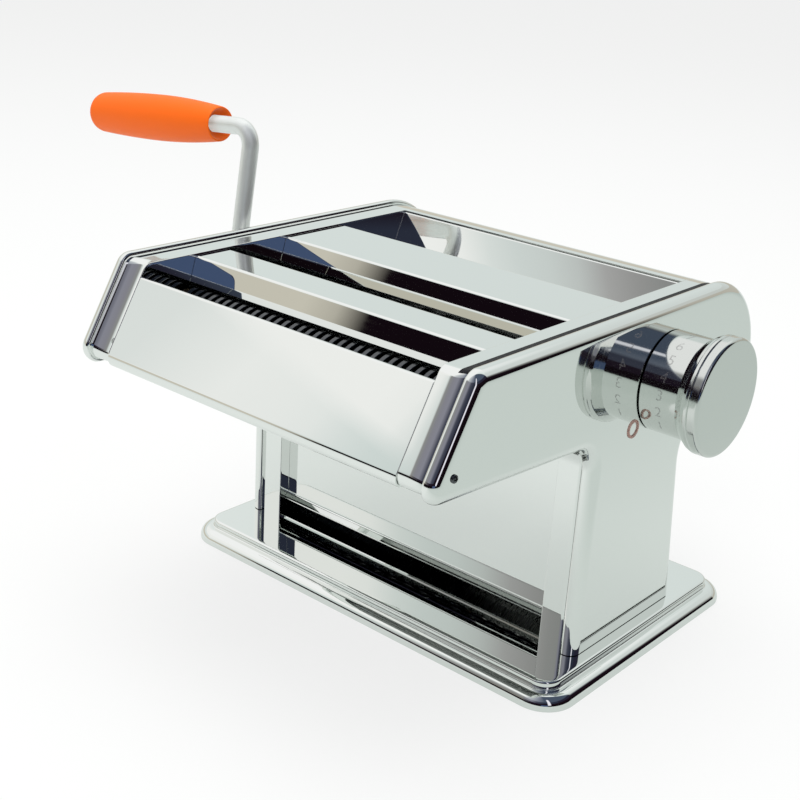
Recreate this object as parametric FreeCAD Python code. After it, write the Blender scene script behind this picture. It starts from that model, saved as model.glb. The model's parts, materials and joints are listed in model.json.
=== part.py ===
import FreeCAD, Part

import math
import os

from FreeCAD import Vector

# Hand-cranked pasta machine with one sheet station and two cutting stations.
# X runs along the rollers (dial side positive), Y from front to back, Z up.
# The origin is the middle of the base's underside, on the table. Millimetres.

# Side section, measured outwards from the middle of the machine
throat_width = 158.0
frame_gauge = 1.2
flange_depth = 11.0
flange_bend = 0.8
groove_width = 1.0
bead_width = 6.5
bead_height = 2.0
bead_round = 5.0
bead_inner_round = 1.3
cover_gauge = 1.0
cover_lip_depth = 2.5
seat_gap = 0.1
shaft_gap = 0.05

# Side outline of the frames; drops are measured down from the head's top
head_top_z = 154.0
front_edge_y = -124.5
front_edge_drop = 4.0
front_slope = 29.9
front_low_drop = 40.65
underside_slope = 3.3
leg_front_y = -41.0
leg_rear_foot_y = 35.5
leg_rear_lean = 7.25
rear_underside_drop = 52.0
head_rear_y = 82.0
top_front_round = 5.0
front_low_round = 5.0
front_leg_round = 14.0
rear_leg_round = 20.0
rear_low_round = 14.0
rear_top_round = 38.0

# Base
base_width = 219.0
base_depth = 147.0
base_corner_round = 15.0
base_top_z = 10.0
base_rim_z = 6.2
base_rim_low_z = 0.0
base_rim_round = 5.0
base_step = 6.5
base_field_edge = 1.2
base_gauge = 1.0
foot_radius = 9.0
foot_inset_x = 19.5
foot_inset_y = 17.5

# Sheet-metal covers and guides between the frames
sheet_gauge = 0.8
sheet_bend = 1.2
front_low_bend = 4.0
front_lip_depth = 15.0
front_hem_depth = 7.5
guide_top_drop = 1.0
guide_wall_drop = 11.9
guide_wall_lean = 3.2
front_guide_start_y = -95.5
front_guide_end_y = -76.5
front_guide_back_drop = 18.0
rear_guide_start_y = -41.5
rear_guide_end_y = -3.5
rear_guide_back_drop = 15.5
hopper_edge_y = 41.5
hopper_low_y = 35.5
hopper_low_drop = 14.4
hopper_tab_gap = 0.2
panel_front_y = -35.0
panel_top_drop = 36.0
outfeed_height = 10.5
outfeed_lip_depth = 3.6
chute_top_y = 20.5
chute_top_drop = 58.0
chute_turn_y = 22.0
chute_turn_z = 50.0
chute_foot_y = -14.0
chute_foot_z = 15.0
chute_end_y = -39.0
chute_turn_round = 30.0
chute_foot_round = 12.0

# Rollers
cutter_drop = 24.0
cutter_spacing = 20.5
cutter_radius = 10.75
core_radius = 7.5
fine_front_y = -119.5
wide_front_y = -66.3
fine_ring = 2.1
wide_ring = 6.2
ring_gap = 0.2
ring_sides = 12
core_sides = 6
bush_shoulder = 2.4
end_float = 0.3
shaft_radius = 5.0
socket_shaft_radius = 6.5
bush_wall = 2.0
bush_outer_end = 1.8
sheet_radius = 13.85
sheet_drop = 31.0
sheet_drive_y = 33.5
dial_y = 4.5
sheet_bore_radius = 8.0
sleeve_wall = 1.5
shaft_proud = 1.0
journal_proud = 3.0

# Gears
gear_teeth = 12
gear_width = 6.0
gear_side_gap = 1.8
gear_pressure = 25.0
gear_backlash = 0.3
gear_addendum = 0.94
gear_dedendum = 1.2
sheet_mesh_gap = 0.3
gear_seat = 0.02

# Adjusting carriers and dial shaft
dial_range = 160.0
dial_steps = 9
sheet_travel = 2.2
carrier_side_gap = 0.6
right_carrier_gap = 0.8
carrier_thickness = 6.4
carrier_half_width = 12.5
carrier_half_height = 24.0
carrier_round = 4.0
carrier_bearing_depth = 3.2
carrier_pin_offset = 19.5
carrier_pin_radius = 2.0
pin_head_radius = 3.4
pin_head_thickness = 0.8
pin_head_gap = 0.2
dial_shaft_radius = 4.0
eccentric_radius = 6.0
eccentric_gap = 0.2
eccentric_side_gap = 0.25
dial_start_lead = 10.0
dial_flat_height = 3.0
dial_bearing_wall = 3.0
dial_bearing_length = 4.0
dial_thrust_length = 1.2

# Dial knob
knob_gap = 1.0
barrel_radius = 21.5
barrel_length = 16.0
barrel_ledge = 5.0
spring_pocket_radius = 8.6
cap_radius = 25.0
cap_length = 11.5
cap_wall = 2.6
cap_cavity_radius = 20.0
cap_round = 1.2
cap_flare = 4.5
washer_radius = 8.2
washer_thickness = 1.2
washer_inset = 0.7
knob_spring_radius = 6.2
knob_spring_wire = 1.0
knob_spring_turns = 4
knob_spring_sides = 14
dimple_radius = 2.4
dimple_depth = 2.0
dimple_circle = 16.0
peg_radius = 2.0
peg_gap = 0.3
mark_y = -17.2
mark_drop = 47.0
mark_radius = 4.0
mark_line = 1.1
mark_thickness = 0.4

# Crank
crank_rod_radius = 4.0
crank_socket_depth = 18.0
crank_insertion = 17.0
crank_arm_gap = 10.5
crank_arm_length = 68.4
crank_lean = 7.9
crank_bend = 9.0
crank_droop = 4.8
grip_start = 22.0
grip_length = 92.0
grip_neck_radius = 8.2
grip_belly_radius = 11.2
grip_end_radius = 9.6
grip_belly_place = 46.0
grip_recess_radius = 6.8
grip_recess_depth = 3.0
grip_end_wall = 8.0
grip_nose = 9.0
grip_steps = 4

# Combs and scrapers, sizes measured from the roller's axis
comb_gauge = 1.6
comb_drop = 16.5
comb_outer = 4.0
comb_inner = 5.5
comb_tip_y = 7.6
comb_tip_drop = 6.5
comb_root_gap = 0.8
finger_gap = 0.3
scraper_gap = 0.4
scraper_tip_offset = 5.4
scraper_run = 8.0
scraper_fall = 4.2
scraper_bar = 9.0

# Rods, posts and fasteners; places in the head are depths and drops below its top
tie_rod_radius = 3.0
head_rod_places = ((-134.2, 33.0), (-82.9, 32.5), (-22.0, 11.0), (60.0, 37.0))
leg_rod_place = (19.0, 22.0)
rod_head_radius = 4.4
rod_head_thickness = 2.4
rod_screw_radius = 2.0
post_radius = 3.5
head_post_places = ((-134.2, 33.0), (-82.7, 13.0), (62.0, 17.0))
leg_post_place = (-4.0, 60.0)
cover_screw_radius = 3.0
cover_screw_head = 1.1
base_screw_radius = 2.0
base_screw_head_radius = 4.0
base_screw_head = 2.6
base_screw_rise = 2.0
base_screw_outset = 6.0
base_screw_y = 22.0
socket_ring_radius = 10.0
socket_ring_thickness = 1.2
socket_collar_radius = 8.0
socket_collar_length = 2.0
socket_ring_gap = 0.3
foot_seam = 0.3

# Places that follow from the values above
web_inner = throat_width / 2
web_outer = web_inner + frame_gauge
flange_edge = web_inner + flange_depth
bead_start = flange_edge + groove_width
cover_face = bead_start + bead_width
cover_inner = cover_face - cover_gauge
lip_start = bead_start - cover_lip_depth
sunk = base_top_z - 2 * bead_width
roller_half = web_inner - bush_shoulder - end_float
front_edge_z = head_top_z - front_edge_drop
front_low_z = head_top_z - front_low_drop
rear_underside_z = head_top_z - rear_underside_drop
guide_top_z = head_top_z - guide_top_drop
guide_wall_z = head_top_z - guide_wall_drop
front_guide_back_z = head_top_z - front_guide_back_drop
rear_guide_back_z = head_top_z - rear_guide_back_drop
hopper_low_z = head_top_z - hopper_low_drop
panel_top_z = head_top_z - panel_top_drop
chute_top_z = head_top_z - chute_top_drop
cutter_z = head_top_z - cutter_drop
sheet_z = head_top_z - sheet_drop
mark_z = head_top_z - mark_drop
tie_rod_places = [(y, head_top_z - drop) for y, drop in head_rod_places] + [leg_rod_place]
post_places = [(y, head_top_z - drop) for y, drop in head_post_places] + [leg_post_place]
foot_place_x = base_width / 2 - foot_inset_x
foot_place_y = base_depth / 2 - foot_inset_y
base_screw_x = web_inner + base_screw_outset
crank_arm_x = -(cover_face + crank_arm_gap)
fine_count = int(2 * roller_half // (2 * (fine_ring + ring_gap / 2)))
wide_count = int(2 * roller_half // (2 * (wide_ring + ring_gap / 2)))
journal_end = web_outer + journal_proud
socket_end = cover_face + shaft_proud
gear_start = web_outer + gear_side_gap
gear_end = gear_start + gear_width
fine_rear_y = fine_front_y + cutter_spacing
wide_rear_y = wide_front_y + cutter_spacing
eccentric_offset = sheet_travel / (2 * math.cos(math.radians(dial_start_lead)))
sheet_adjust_y = dial_y - sheet_travel / 2
carrier_start_left = gear_end + carrier_side_gap
carrier_start_right = web_outer + right_carrier_gap
sleeve_radius = sheet_bore_radius + sleeve_wall
cutter_module = cutter_spacing / gear_teeth
closest_centres = sheet_drive_y - sheet_adjust_y - sheet_travel
sheet_module = (closest_centres - sheet_mesh_gap) / gear_teeth
underside_rate = math.tan(math.radians(underside_slope))
front_rate = math.tan(math.radians(front_slope))
rear_rate = math.tan(math.radians(leg_rear_lean))
barrel_back = cover_face + knob_gap
barrel_front = barrel_back + barrel_length
cap_face = barrel_front + cap_length
dial_shaft_tip = barrel_front - seat_gap
washer_outer = barrel_front - washer_inset
washer_inner = washer_outer - washer_thickness

along_x = Vector(1, 0, 0)


def corner_edges(corners, place, closed):
    """Lines and arcs through corners (a, b, radius), laid in space by place(a, b)."""
    points = [(a, b) for a, b, radius in corners]
    count = len(points)
    ends = []
    for i, (a, b, radius) in enumerate(corners):
        inner = closed or 0 < i < count - 1
        if not inner or radius <= 0:
            ends.append(((a, b), None, (a, b)))
            continue
        before, after = points[i - 1], points[(i + 1) % count]
        back = (before[0] - a, before[1] - b)
        on = (after[0] - a, after[1] - b)
        back_length, on_length = math.hypot(*back), math.hypot(*on)
        back = (back[0] / back_length, back[1] / back_length)
        on = (on[0] / on_length, on[1] / on_length)
        half = math.acos(max(-1.0, min(1.0, back[0] * on[0] + back[1] * on[1]))) / 2
        reach = radius / math.tan(half)
        middle = (back[0] + on[0], back[1] + on[1])
        size = math.hypot(*middle)
        rise = radius / math.sin(half) - radius
        start = (a + back[0] * reach, b + back[1] * reach)
        crown = (a + middle[0] / size * rise, b + middle[1] / size * rise)
        finish = (a + on[0] * reach, b + on[1] * reach)
        ends.append((start, crown, finish))
    edges = []
    for i in range(count if closed else count - 1):
        finish, start = ends[i][2], ends[(i + 1) % count][0]
        if math.hypot(start[0] - finish[0], start[1] - finish[1]) > 1e-7:
            edges.append(Part.makeLine(place(*finish), place(*start)))
        crown = ends[(i + 1) % count][1]
        if crown:
            arc = Part.Arc(place(*start), place(*crown), place(*ends[(i + 1) % count][2]))
            edges.append(arc.toShape())
    return edges


def moved_outline(corners, distance):
    """Closed outline with every side moved inwards by distance, its rounds following."""
    count = len(corners)
    area = sum(
        corners[i][0] * corners[(i + 1) % count][1] - corners[(i + 1) % count][0] * corners[i][1]
        for i in range(count)
    )
    turn = 1 if area > 0 else -1
    return [
        moved_corner(corners[i - 1], corners[i], corners[(i + 1) % count], distance * turn)
        for i in range(count)
    ]


def moved_corner(before, here, after, left):
    """Corner of two lines that are each moved to their left, with its round."""
    into = (here[0] - before[0], here[1] - before[1])
    out = (after[0] - here[0], after[1] - here[1])
    into_length, out_length = math.hypot(*into), math.hypot(*out)
    into = (into[0] / into_length, into[1] / into_length)
    out = (out[0] / out_length, out[1] / out_length)
    cross = into[0] * out[1] - into[1] * out[0]
    spread = 1 + into[0] * out[0] + into[1] * out[1]
    shift = (-(into[1] + out[1]) / spread * left, (into[0] + out[0]) / spread * left)
    radius = here[2]
    if radius > 0:
        radius = max(0.0, radius - left * (1 if cross > 0 else -1))
    return (here[0] + shift[0], here[1] + shift[1], radius)


def strip(path, gauge):
    """Closed outline of a sheet that follows an open path, thick to the path's left."""
    first, last = path[0], path[-1]
    lead = (2 * first[0] - path[1][0], 2 * first[1] - path[1][1], 0)
    trail = (2 * last[0] - path[-2][0], 2 * last[1] - path[-2][1], 0)
    row = [lead] + list(path) + [trail]
    other = [moved_corner(row[i - 1], row[i], row[i + 1], gauge) for i in range(1, len(row) - 1)]
    return [(a, b, r) for a, b, r in path] + [(a, b, r) for a, b, r in reversed(other)]


def in_side_plane(x):
    return lambda y, z: Vector(x, y, z)


def prism(corners, x_from, x_to):
    """Solid of a side-view outline between two X places."""
    wire = Part.Wire(corner_edges(corners, in_side_plane(x_from), True))
    return Part.Face(wire).extrude(Vector(x_to - x_from, 0, 0))


def plate(corners, z_from, z_to):
    """Solid of a top-view outline between two heights."""
    wire = Part.Wire(corner_edges(corners, lambda x, y: Vector(x, y, z_from), True))
    return Part.Face(wire).extrude(Vector(0, 0, z_to - z_from))


def bar(y, z, radius, x_from, x_to):
    low, high = min(x_from, x_to), max(x_from, x_to)
    return Part.makeCylinder(radius, high - low, Vector(low, y, z), along_x)


def ring(y, z, radius, bore, x_from, x_to):
    return bar(y, z, radius, x_from, x_to).cut(bar(y, z, bore, x_from, x_to))


def bevelled(corners):
    """Corners (a, b, bevel) as plain points, each bevel cut straight across its corner."""
    points = []
    for i, (a, b, bevel) in enumerate(corners):
        if bevel <= 0:
            points.append((a, b, 0))
            continue
        for other in (corners[i - 1], corners[(i + 1) % len(corners)]):
            run = (other[0] - a, other[1] - b)
            share = bevel / math.hypot(*run)
            points.append((a + run[0] * share, b + run[1] * share, 0))
    return points


def turned(profile, y, z):
    """Solid of revolution about the X line through (y, z), from (x, radius, bevel)."""
    corners = bevelled(profile)
    wire = Part.Wire(corner_edges(corners, lambda x, r: Vector(x, y, z + r), True))
    return Part.Face(wire).revolve(Vector(0, y, z), along_x, 360)


def polygon(sides, radius, a, b):
    corners = []
    for i in range(sides):
        angle = 2 * math.pi * (i + 0.5) / sides
        corners.append((a + radius * math.cos(angle), b + radius * math.sin(angle), 0))
    return corners


def polygon_bar(sides, radius, y, z, x_from, x_to):
    return prism(polygon(sides, radius, y, z), x_from, x_to)


def hexagon_bar(y, z, radius, x_from, x_to):
    return polygon_bar(6, radius, y, z, x_from, x_to)


def fused(shapes):
    return shapes[0].multiFuse(shapes[1:]).removeSplitter() if len(shapes) > 1 else shapes[0]


def mirrored(shape):
    return shape.mirror(Vector(0, 0, 0), along_x)


def rectangle(half_x, half_y, radius):
    return [
        (-half_x, -half_y, radius),
        (half_x, -half_y, radius),
        (half_x, half_y, radius),
        (-half_x, half_y, radius),
    ]


def front_y(z):
    """Front face of the slanted cover at height z."""
    return front_edge_y - front_rate * (front_edge_z - z)


def underside_z(y):
    """Underside of the head at depth y."""
    return front_low_z - underside_rate * (y - front_y(front_low_z))


def leg_rear_y(z):
    return leg_rear_foot_y - rear_rate * (z - base_top_z)


def frame_outline(bottom_z):
    """Side outline of the frames, counterclockwise from the front foot."""
    return [
        (leg_front_y, bottom_z, 0),
        (leg_rear_y(bottom_z), bottom_z, 0),
        (leg_rear_y(rear_underside_z), rear_underside_z, rear_leg_round),
        (head_rear_y, rear_underside_z, rear_low_round),
        (head_rear_y, head_top_z, rear_top_round),
        (front_y(head_top_z), head_top_z, top_front_round),
        (front_y(front_low_z), front_low_z, front_low_round),
        (leg_front_y, underside_z(leg_front_y), front_leg_round),
    ]


def loop_edges(shape, x, bottom_z):
    """Edges of the outline loop that lies at X = x, without the one along the bottom."""
    found = []
    for edge in shape.Edges:
        ends = [v.Point for v in edge.Vertexes]
        if all(abs(p.x - x) < 1e-6 for p in ends) and not all(abs(p.z - bottom_z) < 1e-6 for p in ends):
            found.append(edge)
    return found


def above(shape, z):
    """What lies above height z."""
    box = shape.BoundBox
    size = max(box.XLength, box.YLength, box.ZLength) + 10
    middle = Vector(box.Center.x - size, box.Center.y - size, z - 2 * size)
    return shape.cut(Part.makeBox(2 * size, 2 * size, 2 * size, middle))


def base_slab(inset, z_from, z_to, edge):
    """Slab of the base's outline moved inwards by inset, its upper edge rounded."""
    outline = rectangle(base_width / 2 - inset, base_depth / 2 - inset, base_corner_round - inset)
    slab = plate(outline, z_from, z_to)
    return slab.makeFillet(edge, [e for e in slab.Edges if all(abs(v.Z - z_to) < 1e-6 for v in e.Vertexes)])


def base_pan():
    """Pressed pan: a rounded rim all round, and a raised field with a step between them."""
    inner_edge = base_rim_round - base_gauge
    rim = base_slab(0, base_rim_low_z, base_rim_z, base_rim_round)
    rim = rim.cut(base_slab(base_gauge, base_rim_low_z - 1, base_rim_z - base_gauge, inner_edge))
    field = base_slab(base_step, base_rim_z - base_gauge, base_top_z, base_field_edge)
    raised = base_slab(base_step + base_gauge, 0, base_top_z - base_gauge, base_field_edge - base_gauge)
    pan = rim.fuse(field).cut(raised)
    for x, y in base_screw_places():
        pan = pan.cut(plate(polygon(6, base_screw_radius, x, y), 1, base_top_z + 1))
    return pan.removeSplitter()


def base_screw_places():
    middle = (leg_front_y + leg_rear_foot_y) / 2
    return [(x, middle + y) for x in (-base_screw_x, base_screw_x) for y in (-base_screw_y, base_screw_y)]


def base_feet():
    inner_top = base_top_z - base_gauge
    feet = []
    for x in (-foot_place_x, foot_place_x):
        for y in (-foot_place_y, foot_place_y):
            feet.append(Part.makeCylinder(foot_radius, inner_top, Vector(x, y, 0)))
    return Part.makeCompound(feet)


def base_screws():
    inner_top = base_top_z - base_gauge
    screws = []
    for x, y in base_screw_places():
        head = plate(polygon(6, base_screw_head_radius, x, y), inner_top - base_screw_head, inner_top)
        shank_top = base_top_z + frame_gauge + base_screw_rise
        shank = plate(polygon(6, base_screw_radius, x, y), inner_top, shank_top)
        screws.append(head.fuse(shank).removeSplitter())
    return Part.makeCompound(screws)


# Every journal that runs in a web: place, radius on the socket side, radius on the dial side
fixed_rollers = (
    (fine_front_y, cutter_z, shaft_radius),
    (fine_rear_y, cutter_z, socket_shaft_radius),
    (wide_front_y, cutter_z, shaft_radius),
    (wide_rear_y, cutter_z, socket_shaft_radius),
    (sheet_drive_y, sheet_z, socket_shaft_radius),
)
socket_places = ((fine_rear_y, cutter_z), (wide_rear_y, cutter_z), (sheet_drive_y, sheet_z))


def obround(y, z, radius, half_run, x_from, x_to):
    """Slot along Y with round ends."""
    reach = radius + half_run
    corners = [
        (y - reach, z - radius, radius),
        (y + reach, z - radius, radius),
        (y + reach, z + radius, radius),
        (y - reach, z + radius, radius),
    ]
    return prism(corners, x_from, x_to)


def bush_radius(journal):
    """Corner radius of a hexagonal bush round a journal."""
    return (journal + bush_wall) / math.cos(math.pi / 6)


def side_frame(left):
    outer = prism(frame_outline(sunk), web_inner, flange_edge)
    outer = outer.makeFillet(flange_bend, loop_edges(outer, web_inner, sunk))
    inner = prism(moved_outline(frame_outline(base_top_z), frame_gauge), web_outer, flange_edge + 1)
    frame = above(outer, base_top_z).cut(inner)
    holes = []
    for y, z, left_radius in fixed_rollers:
        journal = left_radius if left else shaft_radius
        holes.append(hexagon_bar(y, z, bush_radius(journal), web_inner - 1, web_outer + 1))
    sleeve_hole = sleeve_radius + 4 * seat_gap
    holes.append(
        obround(dial_y, sheet_z, sleeve_hole, sheet_travel / 2 + seat_gap, web_inner - 1, web_outer + 1)
    )
    for y, z in tie_rod_places:
        holes.append(hexagon_bar(y, z, rod_screw_radius, web_inner - 1, web_outer + 1))
    for x, y in base_screw_places():
        if x > 0:
            holes.append(plate(polygon(6, base_screw_radius, x, y), base_top_z - 1, web_inner / 2))
    frame = frame.cut(Part.makeCompound(holes)).removeSplitter()
    return mirrored(frame) if left else frame


def side_cover(left):
    bead = prism(moved_outline(frame_outline(sunk), -bead_height), bead_start, cover_face)
    bead = bead.makeFillet(bead_round, loop_edges(bead, cover_face, sunk))
    bead = bead.makeFillet(bead_inner_round, loop_edges(bead, bead_start, sunk))
    lip_inset = frame_gauge + seat_gap
    lip = prism(moved_outline(frame_outline(sunk), lip_inset), lip_start, bead_start + cover_gauge)
    hollow = prism(
        moved_outline(frame_outline(2 * sunk), lip_inset + cover_gauge), lip_start - 1, cover_inner
    )
    bead_hollow = prism(
        moved_outline(frame_outline(2 * sunk), cover_gauge - bead_height),
        bead_start + cover_gauge, bead_start + 2.4 * cover_gauge,
    )
    cover = bead.fuse(lip).cut(hollow).cut(bead_hollow)
    cover = above(cover, base_top_z + foot_seam)
    if left:
        for y, z in socket_places:
            cover = cover.cut(bar(y, z, socket_collar_radius, cover_inner - 1, cover_face + 1))
    else:
        bearing = dial_shaft_radius + shaft_gap + dial_bearing_wall
        cover = cover.cut(bar(dial_y, sheet_z, bearing, cover_inner - 1, cover_face + 1))
        peg_y, peg_z = dimple_place(0)
        cover = cover.cut(bar(peg_y, peg_z, peg_radius, cover_inner - 1, cover_face + 1))
    y, z = post_places[0]
    cover = cover.cut(bar(y, z, rod_screw_radius, cover_inner - 1, cover_face + 1))
    cover = cover.removeSplitter()
    return mirrored(cover) if left else cover


def cover_posts():
    posts = []
    for y, z in post_places:
        start = web_outer + (rod_head_thickness if (y, z) in tie_rod_places else 0)
        post = hexagon_bar(y, z, post_radius, start, cover_inner)
        posts.append(post)
        posts.append(mirrored(post))
    return Part.makeCompound(posts)


def cover_screws():
    y, z = post_places[0]
    head = turned(
        [
            (cover_inner, 0, 0),
            (cover_inner, rod_screw_radius, 0),
            (cover_face, rod_screw_radius, 0),
            (cover_face, cover_screw_radius, 0),
            (cover_face + cover_screw_head, cover_screw_radius, 0.7 * cover_screw_head),
            (cover_face + cover_screw_head, 0, 0),
        ],
        y, z,
    )
    return Part.makeCompound([head, mirrored(head)])


def tie_rods():
    rods = [hexagon_bar(y, z, tie_rod_radius, -web_inner, web_inner) for y, z in tie_rod_places]
    return Part.makeCompound(rods)


def tie_rod_screws():
    screws = []
    for y, z in tie_rod_places:
        head = hexagon_bar(y, z, rod_head_radius, web_outer, web_outer + rod_head_thickness)
        screw = head.fuse(hexagon_bar(y, z, rod_screw_radius, web_inner, web_outer)).removeSplitter()
        screws.append(screw)
        screws.append(mirrored(screw))
    return Part.makeCompound(screws)


def shaft_bushes():
    bushes = []
    start, end = web_inner - bush_shoulder, web_outer + bush_outer_end - seat_gap
    for y, z, left_radius in fixed_rollers:
        for journal, left in ((shaft_radius, False), (left_radius, True)):
            bush = hexagon_bar(y, z, bush_radius(journal), start, end)
            bush = bush.cut(bar(y, z, journal + shaft_gap, start - 1, end + 1))
            bushes.append(mirrored(bush) if left else bush)
    return Part.makeCompound(bushes)


def across(path, gauge):
    """Bent sheet that spans the machine from web to web."""
    return prism(strip(path, gauge), -web_inner, web_inner)


def front_cover():
    low_y = front_y(front_low_z)
    lip_y = low_y + front_lip_depth
    hem_y = front_edge_y + front_hem_depth * math.sin(math.radians(front_slope))
    hem_z = front_edge_z - front_hem_depth
    path = [
        (lip_y, underside_z(lip_y), 0),
        (low_y, front_low_z, front_low_bend),
        (front_edge_y, front_edge_z, sheet_bend),
        (hem_y, hem_z, 0),
    ]
    return across(path, -sheet_gauge)


def front_panel():
    lip_z = base_top_z + outfeed_height
    path = [
        (panel_front_y, panel_top_z, 0),
        (panel_front_y, lip_z + sheet_bend, sheet_bend),
        (panel_front_y - outfeed_lip_depth, lip_z, 0),
    ]
    return across(path, sheet_gauge)


def back_cover():
    outline = frame_outline(base_top_z)
    path = [(hopper_edge_y, head_top_z, 0), outline[4], outline[3], outline[2], outline[1]]
    return across(path, -sheet_gauge)


def hopper_panel():
    top_z = head_top_z - sheet_gauge
    path = [
        (head_rear_y - rear_top_round - hopper_tab_gap, top_z, 0),
        (hopper_edge_y, top_z, sheet_bend),
        (hopper_low_y, hopper_low_z, 0),
        (hopper_low_y - sheet_bend, hopper_low_z - sheet_bend, 0),
    ]
    return across(path, sheet_gauge)


def guide_plate(start_y, end_y, back_z):
    """Guide between two feed slots; its front wall leans over the roller before it."""
    path = [
        (start_y - guide_wall_lean, guide_wall_z, 0),
        (start_y, guide_top_z, sheet_bend),
        (end_y, guide_top_z, sheet_bend),
        (end_y, back_z, 0),
    ]
    return across(path, -sheet_gauge)


def outfeed_chute():
    path = [
        (chute_top_y, chute_top_z, 0),
        (chute_turn_y, chute_turn_z, chute_turn_round),
        (chute_foot_y, chute_foot_z, chute_foot_round),
        (chute_end_y, base_top_z + sheet_gauge, 0),
    ]
    return across(path, sheet_gauge)


def roller_shaft(y, z, has_socket):
    """Journals of a fixed roller, from the socket side to the dial side."""
    right = bar(y, z, shaft_radius, roller_half - 1, journal_end)
    if not has_socket:
        return [right, bar(y, z, shaft_radius, -gear_end - seat_gap, 1 - roller_half)]
    return [right, bar(y, z, socket_shaft_radius, -socket_end, 1 - roller_half)]


def crank_socket(y, z):
    return bar(y, z, crank_rod_radius + shaft_gap, -socket_end - 1, -socket_end + crank_socket_depth)


def ring_places(ring_width, count, follows):
    """Start of each ring, evenly spaced, the two rollers half a step apart."""
    step = 2 * (ring_width + ring_gap / 2)
    start = -step * count / 2 + (step / 2 if follows else 0)
    return [start + i * step for i in range(count)]


def cutter(y, ring_width, count, follows):
    """Cutting roller: rings on a core, their edges between those of the mating roller."""
    parts = [polygon_bar(core_sides, core_radius, y, cutter_z, -roller_half, roller_half)]
    for x in ring_places(ring_width, count, follows):
        end = min(x + ring_width, roller_half)
        parts.append(polygon_bar(ring_sides, cutter_radius, y, cutter_z, x, end))
    parts += roller_shaft(y, cutter_z, not follows)
    roller = fused(parts)
    return roller if follows else roller.cut(crank_socket(y, cutter_z))


def comb(y, side, ring_width, count, follows):
    """Scraper comb below a cutting roller, one finger in each groove between the rings."""
    bar_outline = [
        (-comb_outer, -comb_drop), (comb_inner, -comb_drop),
        (comb_inner, -comb_drop + comb_gauge), (-comb_outer, -comb_drop + comb_gauge),
    ]
    seat = core_radius + comb_root_gap
    finger_outline = [
        (-comb_outer, -comb_drop), (comb_inner, -comb_drop), (comb_tip_y, -comb_tip_drop),
        (seat / 2, -seat), (-comb_outer / 2, -seat), (-comb_outer, -seat),
    ]
    def placed(points):
        return [(y - side * a, cutter_z + b, 0) for a, b in points]
    parts = [prism(placed(bar_outline), -web_inner, web_inner)]
    groove = ring_width + ring_gap
    starts = ring_places(ring_width, count, follows)
    for x in starts[:-1] if count > 1 else starts:
        low = x + ring_width + finger_gap
        parts.append(prism(placed(finger_outline), low, low + groove - 2 * finger_gap))
    return fused(parts)


def sheet_roller_drive():
    y, z = sheet_drive_y, sheet_z
    parts = [bar(y, z, sheet_radius, -roller_half, roller_half)] + roller_shaft(y, z, True)
    return fused(parts).cut(crank_socket(y, z))


def sheet_roller_adjust():
    y, z = sheet_adjust_y, sheet_z
    left_end = carrier_start_left + carrier_bearing_depth
    right_end = carrier_start_right + carrier_bearing_depth
    parts = [
        bar(y, z, sheet_radius, -roller_half, roller_half),
        bar(y, z, sleeve_radius, -left_end, right_end),
    ]
    return fused(parts).cut(bar(y, z, sheet_bore_radius, -left_end - 1, right_end + 1))


def scraper(y, side):
    """Bent blade whose edge lies just below a smooth roller; side is +1 behind it, -1 before."""
    tip_y = y - side * scraper_tip_offset
    reach = sheet_radius + scraper_gap
    tip_z = sheet_z - math.sqrt(reach ** 2 - scraper_tip_offset ** 2)
    path = [
        (tip_y, tip_z, 0),
        (tip_y + side * scraper_run, tip_z - scraper_fall, 0),
        (tip_y + side * (scraper_run + scraper_bar), tip_z - scraper_fall - sheet_gauge, 0),
    ]
    return across(path, -sheet_gauge * side)


def sheet_scrapers():
    front = scraper(sheet_adjust_y + sheet_travel, -1)
    return Part.makeCompound([front, scraper(sheet_drive_y, 1)])


def involute(angle):
    return math.tan(angle) - angle


def gear(y, z, module, bore, turn):
    """Spur gear beside the socket-side web; turn is the angle of its first tooth."""
    pitch_radius = module * gear_teeth / 2
    pressure = math.radians(gear_pressure)
    base_radius = pitch_radius * math.cos(pressure)
    tip_radius = pitch_radius + gear_addendum * module
    root_radius = pitch_radius - gear_dedendum * module
    pitch_half = math.pi / 2 / gear_teeth - gear_backlash / 2 / pitch_radius
    base_half = pitch_half + involute(pressure)
    tip_half = base_half - involute(math.acos(base_radius / tip_radius))
    corners = []
    for i in range(gear_teeth):
        middle = math.radians(turn) + 2 * math.pi * i / gear_teeth
        for radius, half in (
            (root_radius, -base_half), (pitch_radius, -pitch_half), (tip_radius, -tip_half),
            (tip_radius, tip_half), (pitch_radius, pitch_half), (root_radius, base_half),
        ):
            angle = middle + half
            corners.append((y + radius * math.cos(angle), z + radius * math.sin(angle), 0))
    blank = prism(corners, -gear_end, -gear_start)
    return blank.cut(bar(y, z, bore, -gear_end - 1, -gear_start + 1))


def half_step():
    return 180 / gear_teeth


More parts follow.
